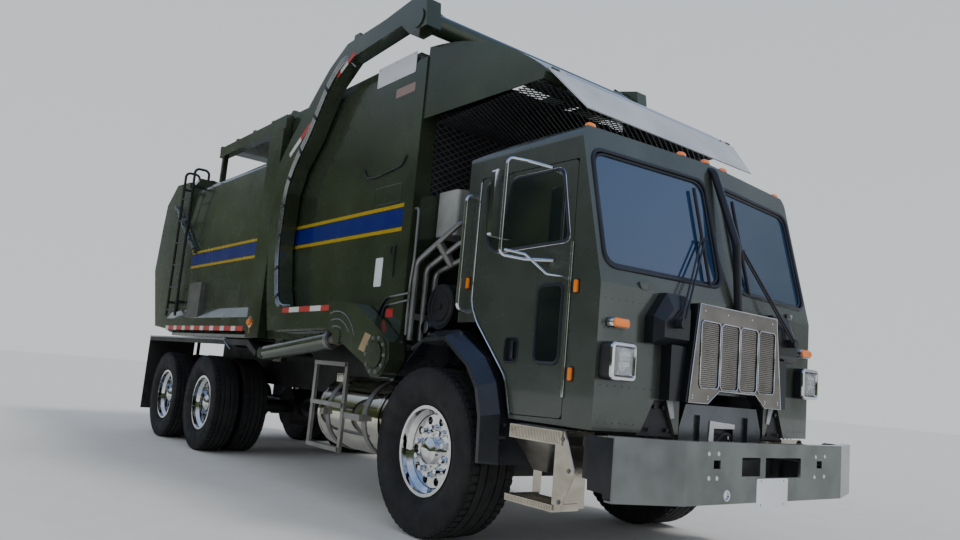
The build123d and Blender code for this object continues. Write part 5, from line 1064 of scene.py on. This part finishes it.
def hub_cap(x, z, y, side):
    """The low dome on the end of a hub."""
    cap = [(0.0, -0.004), (0.058, -0.004), (0.058, 0.002), (0.052, 0.007), (0.034, 0.011), (0.0, 0.013)]

    def make(bm):
        turned(bm, cap, at(x, side * y, z), LEFTWARD * side, 32)
    return make


def bolt_circle(x, z, y, side, radius, count, shift=0.0):
    """Places evenly round an axis across the truck, which all face away from the truck's middle."""
    places = round_places(x, z, y, side, radius, count, shift)
    return [(point, LEFTWARD * side, along) for point, _, along in places]


def dress_wheel(name, node, x, side, sizes, centres, count, disc_y, cap_y):
    """One wheel's tyres with that many blocks round each shoulder, its nuts, its hub's bolts and its cap."""
    body = "wheel_" + name
    z = sizes[0]
    rubber = (tyre_rubber, body, "tyre", [node])
    for place, centre_y in zip(("outer", "inner"), centres):
        piece(f"tyre_{name}_{place}", tyre_form(x, sizes, centre_y, side), *rubber, 40)
        scatter(f"tread_{name}_{place}", tread_blocks(x, sizes, centre_y, side, count), BLOCKS,
                {"Length": 0.040, "Width": 0.118 * sizes[1], "Height": 0.009}, *rubber)
        scatter(f"lugs_{name}_{place}", shoulder_lugs(x, sizes, centre_y, side, count), BLOCKS,
                {"Length": 0.034, "Width": 0.034, "Height": 0.006}, *rubber)
    scatter(f"nuts_{name}", bolt_circle(x, z, disc_y, side, 0.1535, 10, 0.5), BOLTS,
            {"Radius": 0.0185, "Height": 0.042}, bright_metal, body, "bright")
    scatter(f"hub_bolts_{name}", bolt_circle(x, z, disc_y + 0.012, side, 0.103, 8), BOLTS,
            {"Radius": 0.007, "Height": 0.009}, rim_metal, body, "bright")
    piece(f"hub_cap_{name}", hub_cap(x, z, cap_y, side), rim_metal, body, "bright")


for side, word in SIDE_NAMES.items():
    dress_wheel(f"front_{word}", f"front_tyre_{word}", 0.0, side, FRONT_TYRE, (1.054,), 60, 1.129, 1.1915)
    for letter, x in REAR_AXLES.items():
        dress_wheel(f"rear_{letter}_{word}", f"rear_tyres_{letter}_{word}", x, side, REAR_TYRE,
                    (1.075, 1.075 - DUAL_SPACING), 54, 1.030, 1.1375)


# Tape, plates and lamps of the body

def strip(bm, start, end, width, side, y):
    """A thin strip of tape on a side of the truck, between two points of X and Z."""
    first, last = at(start[0], side * y, start[1]), at(end[0], side * y, end[1])
    half = (last - first).cross(LEFTWARD).normalized() * (width / 2)
    slab(bm, [first - half, last - half, last + half, first + half], outward(side, 0.0012))


# Each run of tape: start, end, width, y, and the shares of its length where the colour changes
ARM_TAPES = [((-2.352, 1.517), (-1.440, 1.527), 0.046, [0.0, 0.16, 0.38, 0.62, 0.84, 1.0]),
             ((-2.235, 3.262), (-2.620, 3.028), 0.050, [0.0, 0.45, 1.0]),
             ((-1.500, 3.755), (-1.790, 3.618), 0.046, [0.0, 0.4, 0.8, 1.0])]
SILL_TAPE = ((-3.420, 1.352), (-6.050, 1.352), 0.050,
             [round(i / 8 + j * 0.08, 4) for i in range(8) for j in (0, 1)] + [1.0])


def tape(runs, y, odd):
    """Every second length of the tapes, on both sides."""
    def make(bm):
        for start, end, width, shares in runs:
            first, last = Vector(start), Vector(end)
            for i, (low, high) in enumerate(zip(shares, shares[1:])):
                if i % 2 == odd:
                    for side in SIDES:
                        strip(bm, first.lerp(last, low), first.lerp(last, high), width, side, y)
    return make


for odd, word, finish in ((0, "red", red_tape), (1, "white", white_tape)):
    piece(f"arm_tape_{word}", tape(ARM_TAPES, ARM_FACE, odd), finish, "arms", "body_paint")
    piece(f"sill_tape_{word}", tape([SILL_TAPE], SILL_SIDE, odd), finish, "chassis", "body_paint")


def plate_on_side(bm, low, high, y, thickness, corner=0.012):
    """A blank plate on both sides of the truck, between two corners of X and Z."""
    for side in SIDES:
        slab(bm, rounded(on_side(box_outline(low, high), side, y), corner, 3), outward(side, thickness))


def sign_plates(bm):
    """The blank plates on the hopper's sides."""
    plate_on_side(bm, (-1.312, 3.425), (-0.722, 3.600), HOPPER_SIDE + 0.0003, 0.003)
    plate_on_side(bm, (-1.025, 1.705), (-0.915, 1.935), HOPPER_SIDE, 0.0015)


def pale_label(bm):
    """The small tinted plate under the large one."""
    plate_on_side(bm, (-0.985, 3.262), (-0.702, 3.338), HOPPER_SIDE, 0.0015)


def arm_plate(bm):
    """The tan plate beside the arm's pivot."""
    outline = [(-0.800, 1.330), (-0.712, 1.308), (-0.790, 1.178), (-0.880, 1.200)]
    for side in SIDES:
        slab(bm, on_side(outline, side, ARM_FACE + 0.0002), outward(side, 0.0015))


def facing_sides(y, points):
    """Places on both sides that face away from the truck's middle, each from its X and Z."""
    return [(at(x, side * y, z), LEFTWARD * side, FORWARD) for side in SIDES for x, z in points]


piece("sign_plates", sign_plates, plate_white, "chassis", "grey_plastic")
piece("pale_label", pale_label, pink_plate, "chassis", "grey_plastic")
piece("arm_plate", arm_plate, tan_plate, "arms", "body_paint")
sign_screws = [(x, z) for x in (-1.29, -1.017, -0.744) for z in (3.443, 3.582)]
scatter("sign_screws", facing_sides(HOPPER_SIDE + 0.0033, sign_screws), RIVETS,
        {"Radius": 0.006, "Flatness": 0.5}, raw_steel, "chassis", "steel")


def round_lamp(bm, place, facing, radius, rise):
    """A low domed lens."""
    lens = [(0.0, -0.003), (radius, -0.003), (radius, rise * 0.4), (radius * 0.8, rise * 0.85), (0.0, rise)]
    turned(bm, lens, place, facing, 24)


# The two rows of tail lamps: X, each lamp's Y, Z, and the way that the lamps face
BAR_ROW = (-6.612, (-0.52, -0.39, 0.39, 0.52), 0.940, -FORWARD)
GATE_ROW = (-6.875, (-1.02, -0.88, 0.88, 1.02), 1.703, Vector((-0.894, 0, -0.447)))
TAIL_LAMP = 0.052


def tail_lenses(row, rise):
    """The round red lamps of a row."""
    x, middles, z, facing = row

    def make(bm):
        for y in middles:
            round_lamp(bm, at(x, y, z), facing, TAIL_LAMP, rise)
    return make


def tail_grommets(row):
    """The black rings round a row's lamps."""
    x, middles, z, facing = row
    ring = [(TAIL_LAMP, 0.0), (0.063, 0.0), (0.063, 0.006), (0.058, 0.010), (TAIL_LAMP, 0.008)]

    def make(bm):
        for y in middles:
            turned(bm, ring, at(x, y, z), facing, 24, True)
    return make


piece("bar_lamps", tail_lenses(BAR_ROW, 0.018), red_lens, "chassis", "lamp")
piece("gate_lamps", tail_lenses(GATE_ROW, 0.020), red_lens, "tailgate", "lamp")
piece("bar_grommets", tail_grommets(BAR_ROW), seal_rubber, "chassis", "black_plastic")
piece("gate_grommets", tail_grommets(GATE_ROW), seal_rubber, "tailgate", "black_plastic")


def post_lamp_bases(bm):
    """The gold brackets of the amber lamps on the frame posts."""
    disc = [(0.0, 0.0), (0.058, 0.0), (0.058, 0.005), (0.048, 0.009), (0.0, 0.009)]
    for side in SIDES:
        place = at(-3.240, side * SILL_SIDE, 1.418)
        turned(bm, disc, place, LEFTWARD * side, 28)
        tongue = [place + Vector((x, 0, z)) for x, z in box_outline((-0.02, -0.11), (0.02, -0.05))]
        slab(bm, tongue, outward(side, 0.005))


def post_lamps(bm):
    """The amber lamps on the frame posts."""
    for side in SIDES:
        round_lamp(bm, at(-3.240, side * (SILL_SIDE + 0.0092), 1.418), LEFTWARD * side, 0.036, 0.024)


def side_reflectors(bm):
    """The red reflectors at the hopper's foot."""
    plate_on_side(bm, (-0.790, 1.460), (-0.655, 1.525), HOPPER_SIDE, 0.004)


piece("post_lamp_bases", post_lamp_bases, gold_zinc, "chassis", "steel")
piece("post_lamps", post_lamps, amber, "chassis", "lamp")
piece("side_reflectors", side_reflectors, red_lens, "chassis", "lamp")


# Hydraulic lines, hoses and the arms' fittings

def beside(points, distance):
    """A line of X and Z points moved sideways."""
    result = []
    for i, point in enumerate(points):
        before = Vector(points[max(i - 1, 0)])
        after = Vector(points[min(i + 1, len(points) - 1)])
        along = (after - before).normalized()
        result.append(Vector(point) + Vector((along.y, -along.x)) * distance)
    return result


# The curve that the arms' lines follow, by X and Z, the lines' radius and how far each lies beside the curve
ARM_LINE = [(-1.620, 3.745), (-1.870, 3.585), (-1.985, 3.445), (-2.210, 3.130), (-2.455, 2.895),
            (-2.572, 2.655), (-2.592, 2.100), (-2.502, 1.745), (-2.425, 1.570)]
LINE_RADIUS = 0.0090
LINE_SHIFTS = (0.002, 0.028, 0.054)
CLAMP_HEIGHT = 0.0245


def arm_lines(bm):
    """Three bright hydraulic lines that follow the arms' inner curve."""
    y = ARM_FACE + LINE_RADIUS + 0.003
    for side in SIDES:
        for shift in LINE_SHIFTS:
            line = on_side(beside(ARM_LINE, shift), side, y)
            first, last = line[0], line[-1]
            line = [first + Vector((0.075, -side * 0.06, -0.09)), *line,
                    last + Vector((0.10, -side * 0.075, 0.0))]
            tube(bm, rounded(line, 0.16, 6, False), LINE_RADIUS, 10)


def line_clamps():
    """The clamps across the arms' lines, and the bolts in them."""
    clamps, bolts = [], []
    middle = beside(ARM_LINE, LINE_SHIFTS[1])
    for first, last in zip(middle[1:], middle[2:]):
        count = max(1, round((last - first).length / 0.32))
        for i in range(count):
            point = first.lerp(last, (i + 0.5) / count)
            along = (last - first).normalized()
            across = Vector((along.y, 0, -along.x))
            for side in SIDES:
                place = at(point.x, side * ARM_FACE, point.y)
                clamps.append((place, LEFTWARD * side, across))
                top = place + outward(side, CLAMP_HEIGHT)
                bolts += [(top + across * shift, LEFTWARD * side, across) for shift in (0.015, -0.015)]
    return clamps, bolts


def weld_beads(bm):
    """The curved beads round the lift cylinders' front pins."""
    for side in SIDES:
        for radius, start, sweep in ((0.360, 28, 80), (0.298, 40, 66), (0.240, 66, 38)):
            turns = [math.radians(start + sweep * i / 24) for i in range(25)]
            arc = [(-1.285 + radius * math.cos(a), 1.135 + radius * math.sin(a)) for a in turns]
            tube(bm, on_side(arc, side, ARM_FACE + 0.001), 0.0045, 6)


piece("arm_lines", arm_lines, line_steel, "arms", "bright", crease=60)
clamps, clamp_bolts = line_clamps()
scatter("line_clamps", clamps, BLOCKS, {"Length": 0.088, "Width": 0.026, "Height": CLAMP_HEIGHT},
        dark_plastic, "arms", "black_plastic")
scatter("clamp_bolts", clamp_bolts, BOLTS, {"Radius": 0.006, "Height": 0.006}, raw_steel, "arms", "steel")
piece("weld_beads", weld_beads, raw_steel, "arms", "steel", crease=60)
pivot_bolts = [place for side in SIDES for place in bolt_circle(-0.615, 1.166, 1.295, side, 0.128, 10)]
scatter("pivot_bolts", pivot_bolts, BOLTS, {"Radius": 0.011, "Height": 0.010}, raw_steel, "arms", "steel")


# The lift cylinders' two pins, by X and Z, the way from one to the other, and the middle of the arm's width
ROD_START = Vector((-2.760, 1.120))
ROD_END = Vector((-1.250, 1.290))
ROD_WAY = (ROD_END - ROD_START).normalized()
ARM_MIDDLE = 1.2185


def on_lift_rod(profile, foot):
    """A ring of this profile round each lift cylinder, from a point of its axis on."""
    facing = Vector((ROD_WAY.x, 0, ROD_WAY.y))

    def make(bm):
        for side in SIDES:
            turned(bm, profile, at(foot.x, side * ARM_MIDDLE, foot.y), facing, 32, True)
    return make


lift_gland = on_lift_rod([(0.046, 0.0), (0.0785, 0.0), (0.0785, 0.026), (0.070, 0.034), (0.046, 0.034)],
                         ROD_START + ROD_WAY * 1.292)
lift_clevis = on_lift_rod([(0.0415, 0.0), (0.050, 0.0), (0.056, 0.010), (0.056, 0.050), (0.0415, 0.066)],
                          ROD_END - ROD_WAY * 0.125)
piece("lift_glands", lift_gland, raw_steel, "lift_cylinder_barrels", "steel")
piece("lift_clevises", lift_clevis, gold_zinc, "lift_cylinder_rods", "steel")


HOSE_Y = 1.1390


def side_tubes(bm):
    """The thin steel tubes at the hopper's front corner posts."""
    tall = [(-0.548, 2.290), (-0.500, 2.290), (-0.495, 1.900), (-0.520, 1.720), (-0.515, 1.330)]
    for side in SIDES:
        tube(bm, rounded(on_side(tall, side, 1.112), 0.05, 5, False), 0.010, 10)
        for z0, z1 in ((1.638, 1.615), (1.585, 1.554)):
            bar(bm, at(-0.480, side * HOSE_Y, z0), at(-0.745, side * HOSE_Y, z1), 0.0080, 12)


def side_hoses(bm):
    """The black hoses from those tubes down towards the arms' pivots."""
    for side in SIDES:
        for x, z, reach in ((-0.735, 1.616, 0.0), (-0.735, 1.555, 0.055)):
            line = [(x, z), (x - 0.075, z - 0.010), (x - 0.165 + reach, z - 0.130),
                    (x - 0.215 + reach, 1.300)]
            tube(bm, rounded(on_side(line, side, HOSE_Y), 0.09, 6, False), 0.0086, 10)


def side_handles(bm):
    """The black hose hook, the latch and its ring on the hopper's sides."""
    for side in SIDES:
        wall, y = side * 1.128, side * 1.1385
        hook = [at(-1.372, wall, 2.717), at(-1.372, y, 2.717), at(-1.304, y, 2.636), at(-1.154, y, 2.622),
                at(-0.779, y, 2.662), at(-0.720, y, 2.733), at(-0.720, wall, 2.733)]
        tube(bm, rounded(hook, 0.03, 4, False), 0.0080, 10)
        latch = [at(-0.745, wall, 2.02), at(-0.745, y, 2.01), at(-0.745, y, 1.78), at(-0.745, wall, 1.77)]
        tube(bm, rounded(latch, 0.02, 4, False), 0.0060, 8)
        tube(bm, circle(at(-0.775, side * 1.1365, 1.984), LEFTWARD, 0.034, 20), 0.0045, 6, True)


def door_frames(bm):
    """The edge of the small access door on the hopper's sides."""
    corners = box_outline((-1.150, 2.375), (-0.745, 2.520))
    for side in SIDES:
        tube(bm, rounded(on_side(corners, side, HOPPER_SIDE), 0.02, 3), 0.0032, 6, True)


piece("side_tubes", side_tubes, raw_steel, "chassis", "steel", crease=60)
piece("side_hoses", side_hoses, seal_rubber, "chassis", "black_plastic", crease=60)
piece("side_handles", side_handles, dark_plastic, "chassis", "black_plastic", crease=60)
piece("door_frames", door_frames, body_green, "chassis", "body_paint", crease=60)


# Diamond mesh

DIAMOND_RISE = 0.58


def lattice(corner, across, up, width, height, step):
    """The seed edges of a diamond mesh over a rectangle, as two sets of slanting lines."""
    points, edges = [], []
    for slope in (-DIAMOND_RISE, DIAMOND_RISE):
        line = min(0.0, -slope * width) + step / 2
        stop = max(height, height - slope * width)
        while line < stop:
            ends = []
            for u, v in ((0.0, line), (width, line + slope * width)):
                clipped = min(max(v, 0.0), height)
                ends.append((u + (clipped - v) / slope, clipped))
            points += [corner + across * u + up * v for u, v in ends]
            edges.append((len(points) - 2, len(points) - 1))
            line += step
    mesh = bpy.data.meshes.new("lattice")
    mesh.from_pydata(points, edges, [])
    return mesh


grown("hopper_screen", lattice(at(-0.5575, -0.9997, 2.4205), LEFTWARD, UPWARD, 1.9994, 0.959, 0.050), WIRES,
      {"Radius": 0.0045}, lining_grey, "chassis")
CANOPY_SLOPE = Vector((1.240, 0, 0.034)).normalized()
grown("canopy_screen", lattice(at(-0.540, -1.020, 2.998), LEFTWARD, CANOPY_SLOPE, 2.040, 1.200, 0.042), WIRES,
      {"Radius": 0.0050}, dark_plastic, "chassis")


# Tank, steps, intake and mirrors

def tank_fittings(bm):
    """The bent fuel lines at the front of the tank."""
    for y, z in ((-0.90, 0.60), (-0.80, 0.72)):
        line = [at(-0.748, y, z), at(-0.700, y, z), at(-0.640, y + 0.03, z + 0.12),
                at(-0.640, y + 0.20, z + 0.26), at(-0.640, -0.430, z + 0.28)]
        tube(bm, rounded(line, 0.06, 5, False), 0.013, 10)


def tank_seams(bm):
    """The welded seams near the tank's ends."""
    for x in (-1.715, -0.790):
        tube(bm, circle(at(x, -0.825, 0.680), FORWARD, 0.298, 64), 0.0035, 6, True)


def step_treads():
    """Rows of grip studs on the two steps of each side."""
    places = []
    for side in SIDES:
        for z, y0, y1, x1 in ((0.428, 1.025, 1.205, 1.240), (0.822, 0.975, 1.205, 1.275)):
            rows = int((y1 - y0) / 0.026)
            for row in range(rows + 1):
                for column in range(15):
                    x = 0.875 + (x1 - 0.89) * (column + 0.5 * (row % 2)) / 15
                    places.append((at(x, side * (y0 + 0.026 * row), z), UPWARD, FORWARD))
    return places


RIB_START = 0.870
RIB_PITCH = 0.0125


def step_ribs(z, end):
    """The upright ribs along a step's outer edge, at this height and as far forward as its end."""
    return [(at(RIB_START + RIB_PITCH * i, side * 1.215, z), LEFTWARD * side, UPWARD) for side in SIDES
            for i in range(int((end - RIB_START) / RIB_PITCH))]


piece("tank_fittings", tank_fittings, seal_rubber, "chassis", "black_plastic", crease=60)
piece("tank_seams", tank_seams, tank_metal, "chassis", "bright", crease=60)
scatter("step_treads", step_treads(), RIVETS, {"Radius": 0.0065, "Flatness": 0.6}, step_metal, "chassis",
        "bright")
for word, z, length, end in (("upper", 0.7835, 0.060, 1.285), ("lower", 0.409, 0.026, 1.245)):
    scatter(f"step_ribs_{word}", step_ribs(z, end), BLOCKS,
            {"Length": length, "Width": 0.006, "Height": 0.002}, step_metal, "chassis", "bright")
scatter("step_bolts", facing_sides(1.207, [(1.290, 0.78), (1.290, 0.45), (1.350, 0.62)]), BOLTS,
        {"Radius": 0.010, "Height": 0.009}, raw_steel, "chassis", "steel")


def cleaner_rings(bm):
    """The raised rings on the canister's face and the wing nut in its middle."""
    middle = at(-0.300, -0.975, 1.555)
    for radius in (0.150, 0.105):
        tube(bm, circle(middle, LEFTWARD, radius, 40), 0.0045, 6, True)
    turned(bm, [(0.0, -0.002), (0.022, -0.002), (0.020, 0.010), (0.0, 0.012)], middle, -LEFTWARD, 16)


def filter_bowl(bm):
    """The small bright bowl under the canister."""
    bowl = [(0.0, 0.152), (0.0462, 0.152), (0.0475, 0.150), (0.0475, 0.004), (0.047, -0.003), (0.0, -0.003)]
    turned(bm, bowl, at(-0.420, -1.0105, 1.400), LEFTWARD, 28)


def fender_highlight_strips(bm):
    """The bright strips along the top edges of the rear fenders, partly steel edges and partly painted
    highlight along the fenders' tops.
    """
    for side in SIDES:
        line = on_side([(-6.655, 1.236), (-3.932, 1.236), (-3.70, 1.135)], side, SILL_SIDE + 0.002)
        tube(bm, rounded(line, 0.02, 3, False), 0.0085, 10)


def mirror_glass(side):
    """The mirror's pane on the rear of its head."""
    def make(bm):
        corners = [at(0.7652, side * y, z) for y, z in box_outline((1.281, 1.915), (1.421, 2.295))]
        slab(bm, rounded(corners, 0.016, 4), FORWARD * -0.002)
    return make


piece("cleaner_rings", cleaner_rings, dark_plastic, "chassis", "black_plastic", crease=60)
piece("filter_bowl", filter_bowl, bright_metal, "chassis", "bright")
# Bright strips that partly stand for the highlight along the fenders' tops: painted highlight.
piece("fender_highlight_strips", fender_highlight_strips, line_steel, "chassis", "bright")
for side, word in SIDE_NAMES.items():
    piece(f"mirror_glass_{word}", mirror_glass(side), rod_chrome, f"door_{word}", "window")


# The cab's inside

PRESS_FRAMES = 20
CHANNEL_DEPTH = 0.008
CHANNEL_WIDTH = 0.009


def pad(length, width, height, middle, lean, draw):
    """The closed shape of a pad before it is filled, with its sides drawn in towards their middles."""
    turn = Matrix.Rotation(math.radians(lean), 3, "Y")
    rings = []
    for share, rise in ((0.80, 0.0), (0.96, 0.22), (1.0, 0.5), (0.96, 0.78), (0.80, 1.0)):
        ring = []
        for corner_x, corner_y in ((-1, -1), (1, -1), (1, 1), (-1, 1)):
            for step in range(8):
                along = -1 + step / 4
                side_x = corner_x if corner_x == corner_y else -along * corner_x
                side_y = corner_y if corner_x != corner_y else along * corner_x
                pull = 1 - draw * (1 - along * along)
                reach_x = side_x * (pull if corner_x == corner_y else 1.0)
                reach_y = side_y * (pull if corner_x != corner_y else 1.0)
                local = Vector((reach_x * length / 2 * share, reach_y * width / 2 * share,
                                (rise - 0.5) * height))
                ring.append(middle + turn @ local)
        rings.append(ring)
    return rings


def blown_up(cover):
    """Where a cover's points stand after air has pressed it out for some frames."""
    cloth = cover.modifiers.new("cloth", "CLOTH")
    cloth.settings.use_pressure = True
    cloth.settings.uniform_pressure_force = 4.0
    cloth.settings.effector_weights.gravity = 0.0
    for step in range(1, PRESS_FRAMES + 1):
        bpy.context.scene.frame_set(step)
    places = [vertex.co.copy() for vertex in as_shown(cover).vertices]
    cover.modifiers.remove(cloth)
    bpy.context.scene.frame_set(1)
    return places


def filled(rings, cap, channels, turn):
    """A pad blown up like a filled cover, then sewn down along its channels."""
    bm = bmesh.new()
    skin(bm, rings)
    cover = add_object("cover", to_mesh(bm, "cover"))
    remesh = cover.modifiers.new("remesh", "REMESH")
    remesh.mode = "VOXEL"
    remesh.voxel_size = 0.009
    fine = as_shown(cover)
    cover.modifiers.remove(remesh)
    cover.data = fine
    still = [vertex.co.copy() for vertex in fine.vertices]
    moved = blown_up(cover)
    middle = sum(still, Vector()) / len(still)
    for vertex, start, end in zip(fine.vertices, still, moved):
        step = end - start
        if step.length > cap:
            step = step.normalized() * cap
        place = start + step
        local = turn.inverted() @ (place - middle)
        for channel in channels:
            depth = CHANNEL_DEPTH * math.exp(-((local.y - channel) / CHANNEL_WIDTH) ** 2) * (local.z > 0)
            place -= turn @ Vector((0, 0, depth))
        vertex.co = place
    divide = cover.modifiers.new("divide", "SUBSURF")
    divide.levels = divide.render_levels = 1
    result = as_shown(cover)
    bpy.data.objects.remove(cover)
    return result


def mirrored_mesh(mesh):
    """A mesh's copy on the truck's other side."""
    bm = bmesh.new()
    bm.from_mesh(mesh)
    bmesh.ops.scale(bm, vec=(1, -1, 1), verts=bm.verts)
    bmesh.ops.reverse_faces(bm, faces=bm.faces)
    copy = bpy.data.meshes.new(mesh.name)
    bm.to_mesh(copy)
    bm.free()
    return copy


SEAT_Y = 0.758
# Each pad of the left seat: length, width, thickness, middle X, middle Z, lean in degrees
PADS = {"cushion": (0.420, 0.400, 0.085, 0.530, 1.662, -3.0),
        "back": (0.600, 0.385, 0.070, 0.275, 2.012, -96.0)}

for word, (length, width, height, x, z, lean) in PADS.items():
    rings = pad(length, width, height, at(x, SEAT_Y, z), lean, 0.03)
    mesh = filled(rings, 0.024, (-0.085, 0.085), Matrix.Rotation(math.radians(lean), 3, "Y"))
    for side, name in ((1, "left"), (-1, "right")):
        shape = mesh if side > 0 else mirrored_mesh(mesh)
        soft = keep(f"seat_{word}_{name}", shape, seat_fabric, "cab", ["cab_inside"], 60)


def seat_bases(bm):
    """The seats' boxes, and the shells behind their backs."""
    box = [(0.330, 1.300), (0.600, 1.130), (0.660, 1.210), (0.660, 1.590), (0.290, 1.590), (0.290, 1.330)]
    shell = [(0.222, 1.640), (0.240, 1.640), (0.224, 2.300), (0.206, 2.300)]
    for side in SIDES:
        y = side * SEAT_Y - 0.17
        slab(bm, on_side(box, 1, y), LEFTWARD * 0.34, 0.010)
        slab(bm, on_side(shell, 1, y), LEFTWARD * 0.34, 0.006)
        bar(bm, at(0.250, side * SEAT_Y, 1.56), at(0.232, side * SEAT_Y, 1.70), 0.022)


def dashboard(bm):
    """The dashboard with its hood, its gauge panel and its top seam."""
    section = [(1.286, 1.604), (1.392, 1.640), (1.330, 1.694), (1.255, 1.699), (1.168, 1.698), (1.128, 1.660),
               (1.124, 1.624)]
    slab(bm, on_side(section, 1, -0.925), LEFTWARD * 1.850, 0.008)
    for z in (0.0, 0.024, 0.048):
        bar(bm, at(1.1385 + 0.32 * z, -0.80, 1.634 + z), at(1.1385 + 0.32 * z, 0.36, 1.634 + z), 0.0025, 6)


def gauges(bm):
    """The dials of the gauge panel in front of the driver."""
    aim = Vector((-0.86, 0, 0.51)).normalized()
    for y, radius in ((0.555, 0.028), (0.620, 0.028), (0.685, 0.028), (0.500, 0.016), (0.740, 0.016)):
        dial = [(0.0, 0.0), (radius * 0.85, 0.0), (radius * 0.9, 0.004), (radius, 0.004), (radius, -0.008),
                (0.0, -0.008)]
        turned(bm, dial, at(1.142, y, 1.675), aim, 20)


def steering_wheel(bm):
    """The steering wheel with its grip, spokes, hub and column."""
    normal = Vector((-0.594, 0, 0.804))
    centre = at(1.005, 0.620, 1.797)
    tube(bm, circle(centre, normal, 0.205, 48), 0.0145, 12, True)
    upper = normal.cross(LEFTWARD).normalized()
    for angle in (28, 152, 270):
        out = LEFTWARD * math.cos(math.radians(angle)) + upper * math.sin(math.radians(angle))
        bar(bm, centre - normal * 0.012, centre + out * 0.202, 0.0085)
    turned(bm, [(0.0, 0.014), (0.030, 0.012), (0.046, 0.0), (0.050, -0.022), (0.030, -0.040), (0.0, -0.040)],
           centre, normal, 28)
    bar(bm, centre - normal * 0.03, at(1.180, 0.620, 1.560), 0.026, 18)


piece("seat_bases", seat_bases, dark_plastic, "cab", "cab_lining", ["cab_inside"])
piece("dashboard", dashboard, lining_grey, "cab", "cab_lining", ["cab_inside"])
piece("gauges", gauges, pale_plastic, "cab", "cab_lining", ["cab_inside"])
piece("steering_wheel", steering_wheel, dark_plastic, "cab", "cab_lining", ["cab_inside"])


# Floor, light and camera

FLOOR_REACH = 60.0
CAMERA_PLACE = (4.302 + SHIFT, -4.205, 1.066)
CAMERA_TURN = (52.21, 97.943, 5.078)


def lay_floor():
    """A plain pale floor that the tyres stand on."""
    mesh = bpy.data.meshes.new("floor")
    corners = box_outline((-FLOOR_REACH, -FLOOR_REACH), (FLOOR_REACH, FLOOR_REACH))
    mesh.from_pydata([(x, y, 0) for x, y in corners], [], [(0, 1, 2, 3)])
    mesh.materials.append(moulded("floor_pale", (0.66, 0.66, 0.65), (0.63, 0.63, 0.62), 0.9, 0.05, 0.0005))
    floor = add_object("floor", mesh)


def hang_light(name, aim, strength, softness, colour):
    """A soft light that comes from one side over the whole floor, and that no gloss shows."""
    lamp = bpy.data.lights.new(name, "SUN")
    lamp.angle = math.radians(softness)
    lamp.energy = strength
    lamp.color = colour
    holder = add_object(name, lamp)
    holder.visible_glossy = False
    holder.matrix_world = Vector(aim).to_track_quat("Z", "Y").to_matrix().to_4x4()


def light_studio():
    """A pale surround, whose gloss shows a bluer sky and two dark screens, and two lights."""
    world = bpy.data.worlds.new("studio")
    world.use_nodes = True
    bpy.context.scene.world = world
    tree = world.node_tree
    place = tree.nodes.new("ShaderNodeTexCoord").outputs["Generated"]
    x, y, height = split_place(tree, place)
    sky = blend_colours(tree, spread(tree, height, 0.05, 0.8), (0.86, 0.91, 0.96), (0.22, 0.36, 0.70))
    mottle = spread(tree, noise(tree, place, 0.12, 4.0, 0.6), 0.4, 0.65)
    dark = blend_colours(tree, mottle, (0.012, 0.018, 0.010), (0.10, 0.13, 0.06))
    right = reckon(tree, "MULTIPLY", spread(tree, y, -0.08, -0.28), spread(tree, height, 0.45, 0.25))
    left = reckon(tree, "MULTIPLY", spread(tree, y, 0.78, 1.0), spread(tree, height, 0.60, 0.45))
    left = reckon(tree, "MULTIPLY", left, spread(tree, x, 0.0, 0.1))
    shown = blend_colours(tree, reckon(tree, "MAXIMUM", right, left), sky, dark)
    plain = blend_colours(tree, spread(tree, height, 0.0, 0.9), (0.80, 0.82, 0.84), (0.66, 0.72, 0.80))
    ray = tree.nodes.new("ShaderNodeLightPath")
    tone = blend_colours(tree, ray.outputs["Is Glossy Ray"], plain, shown)
    tree.links.new(tone, tree.nodes["Background"].inputs["Color"])
    hang_light("key", (0.62, 0.28, 0.76), 1.6, 14, (1.0, 0.96, 0.9))
    hang_light("side", (-0.1, -0.9, 0.45), 0.35, 40, (0.97, 0.98, 1.0))


def set_camera():
    """The photograph's view, found from the truck's known points."""
    data = bpy.data.cameras.new("photo")
    data.sensor_width = 36.0
    data.lens = 28.86
    camera = add_object("photo", data)
    heading, tilt, roll = (math.radians(angle) for angle in CAMERA_TURN)
    turn = Matrix.Rotation(heading, 4, "Z") @ Matrix.Rotation(tilt, 4, "X") @ Matrix.Rotation(roll, 4, "Z")
    camera.matrix_world = Matrix.Translation(CAMERA_PLACE) @ turn
    bpy.context.scene.camera = camera


lay_floor()
light_studio()
set_camera()
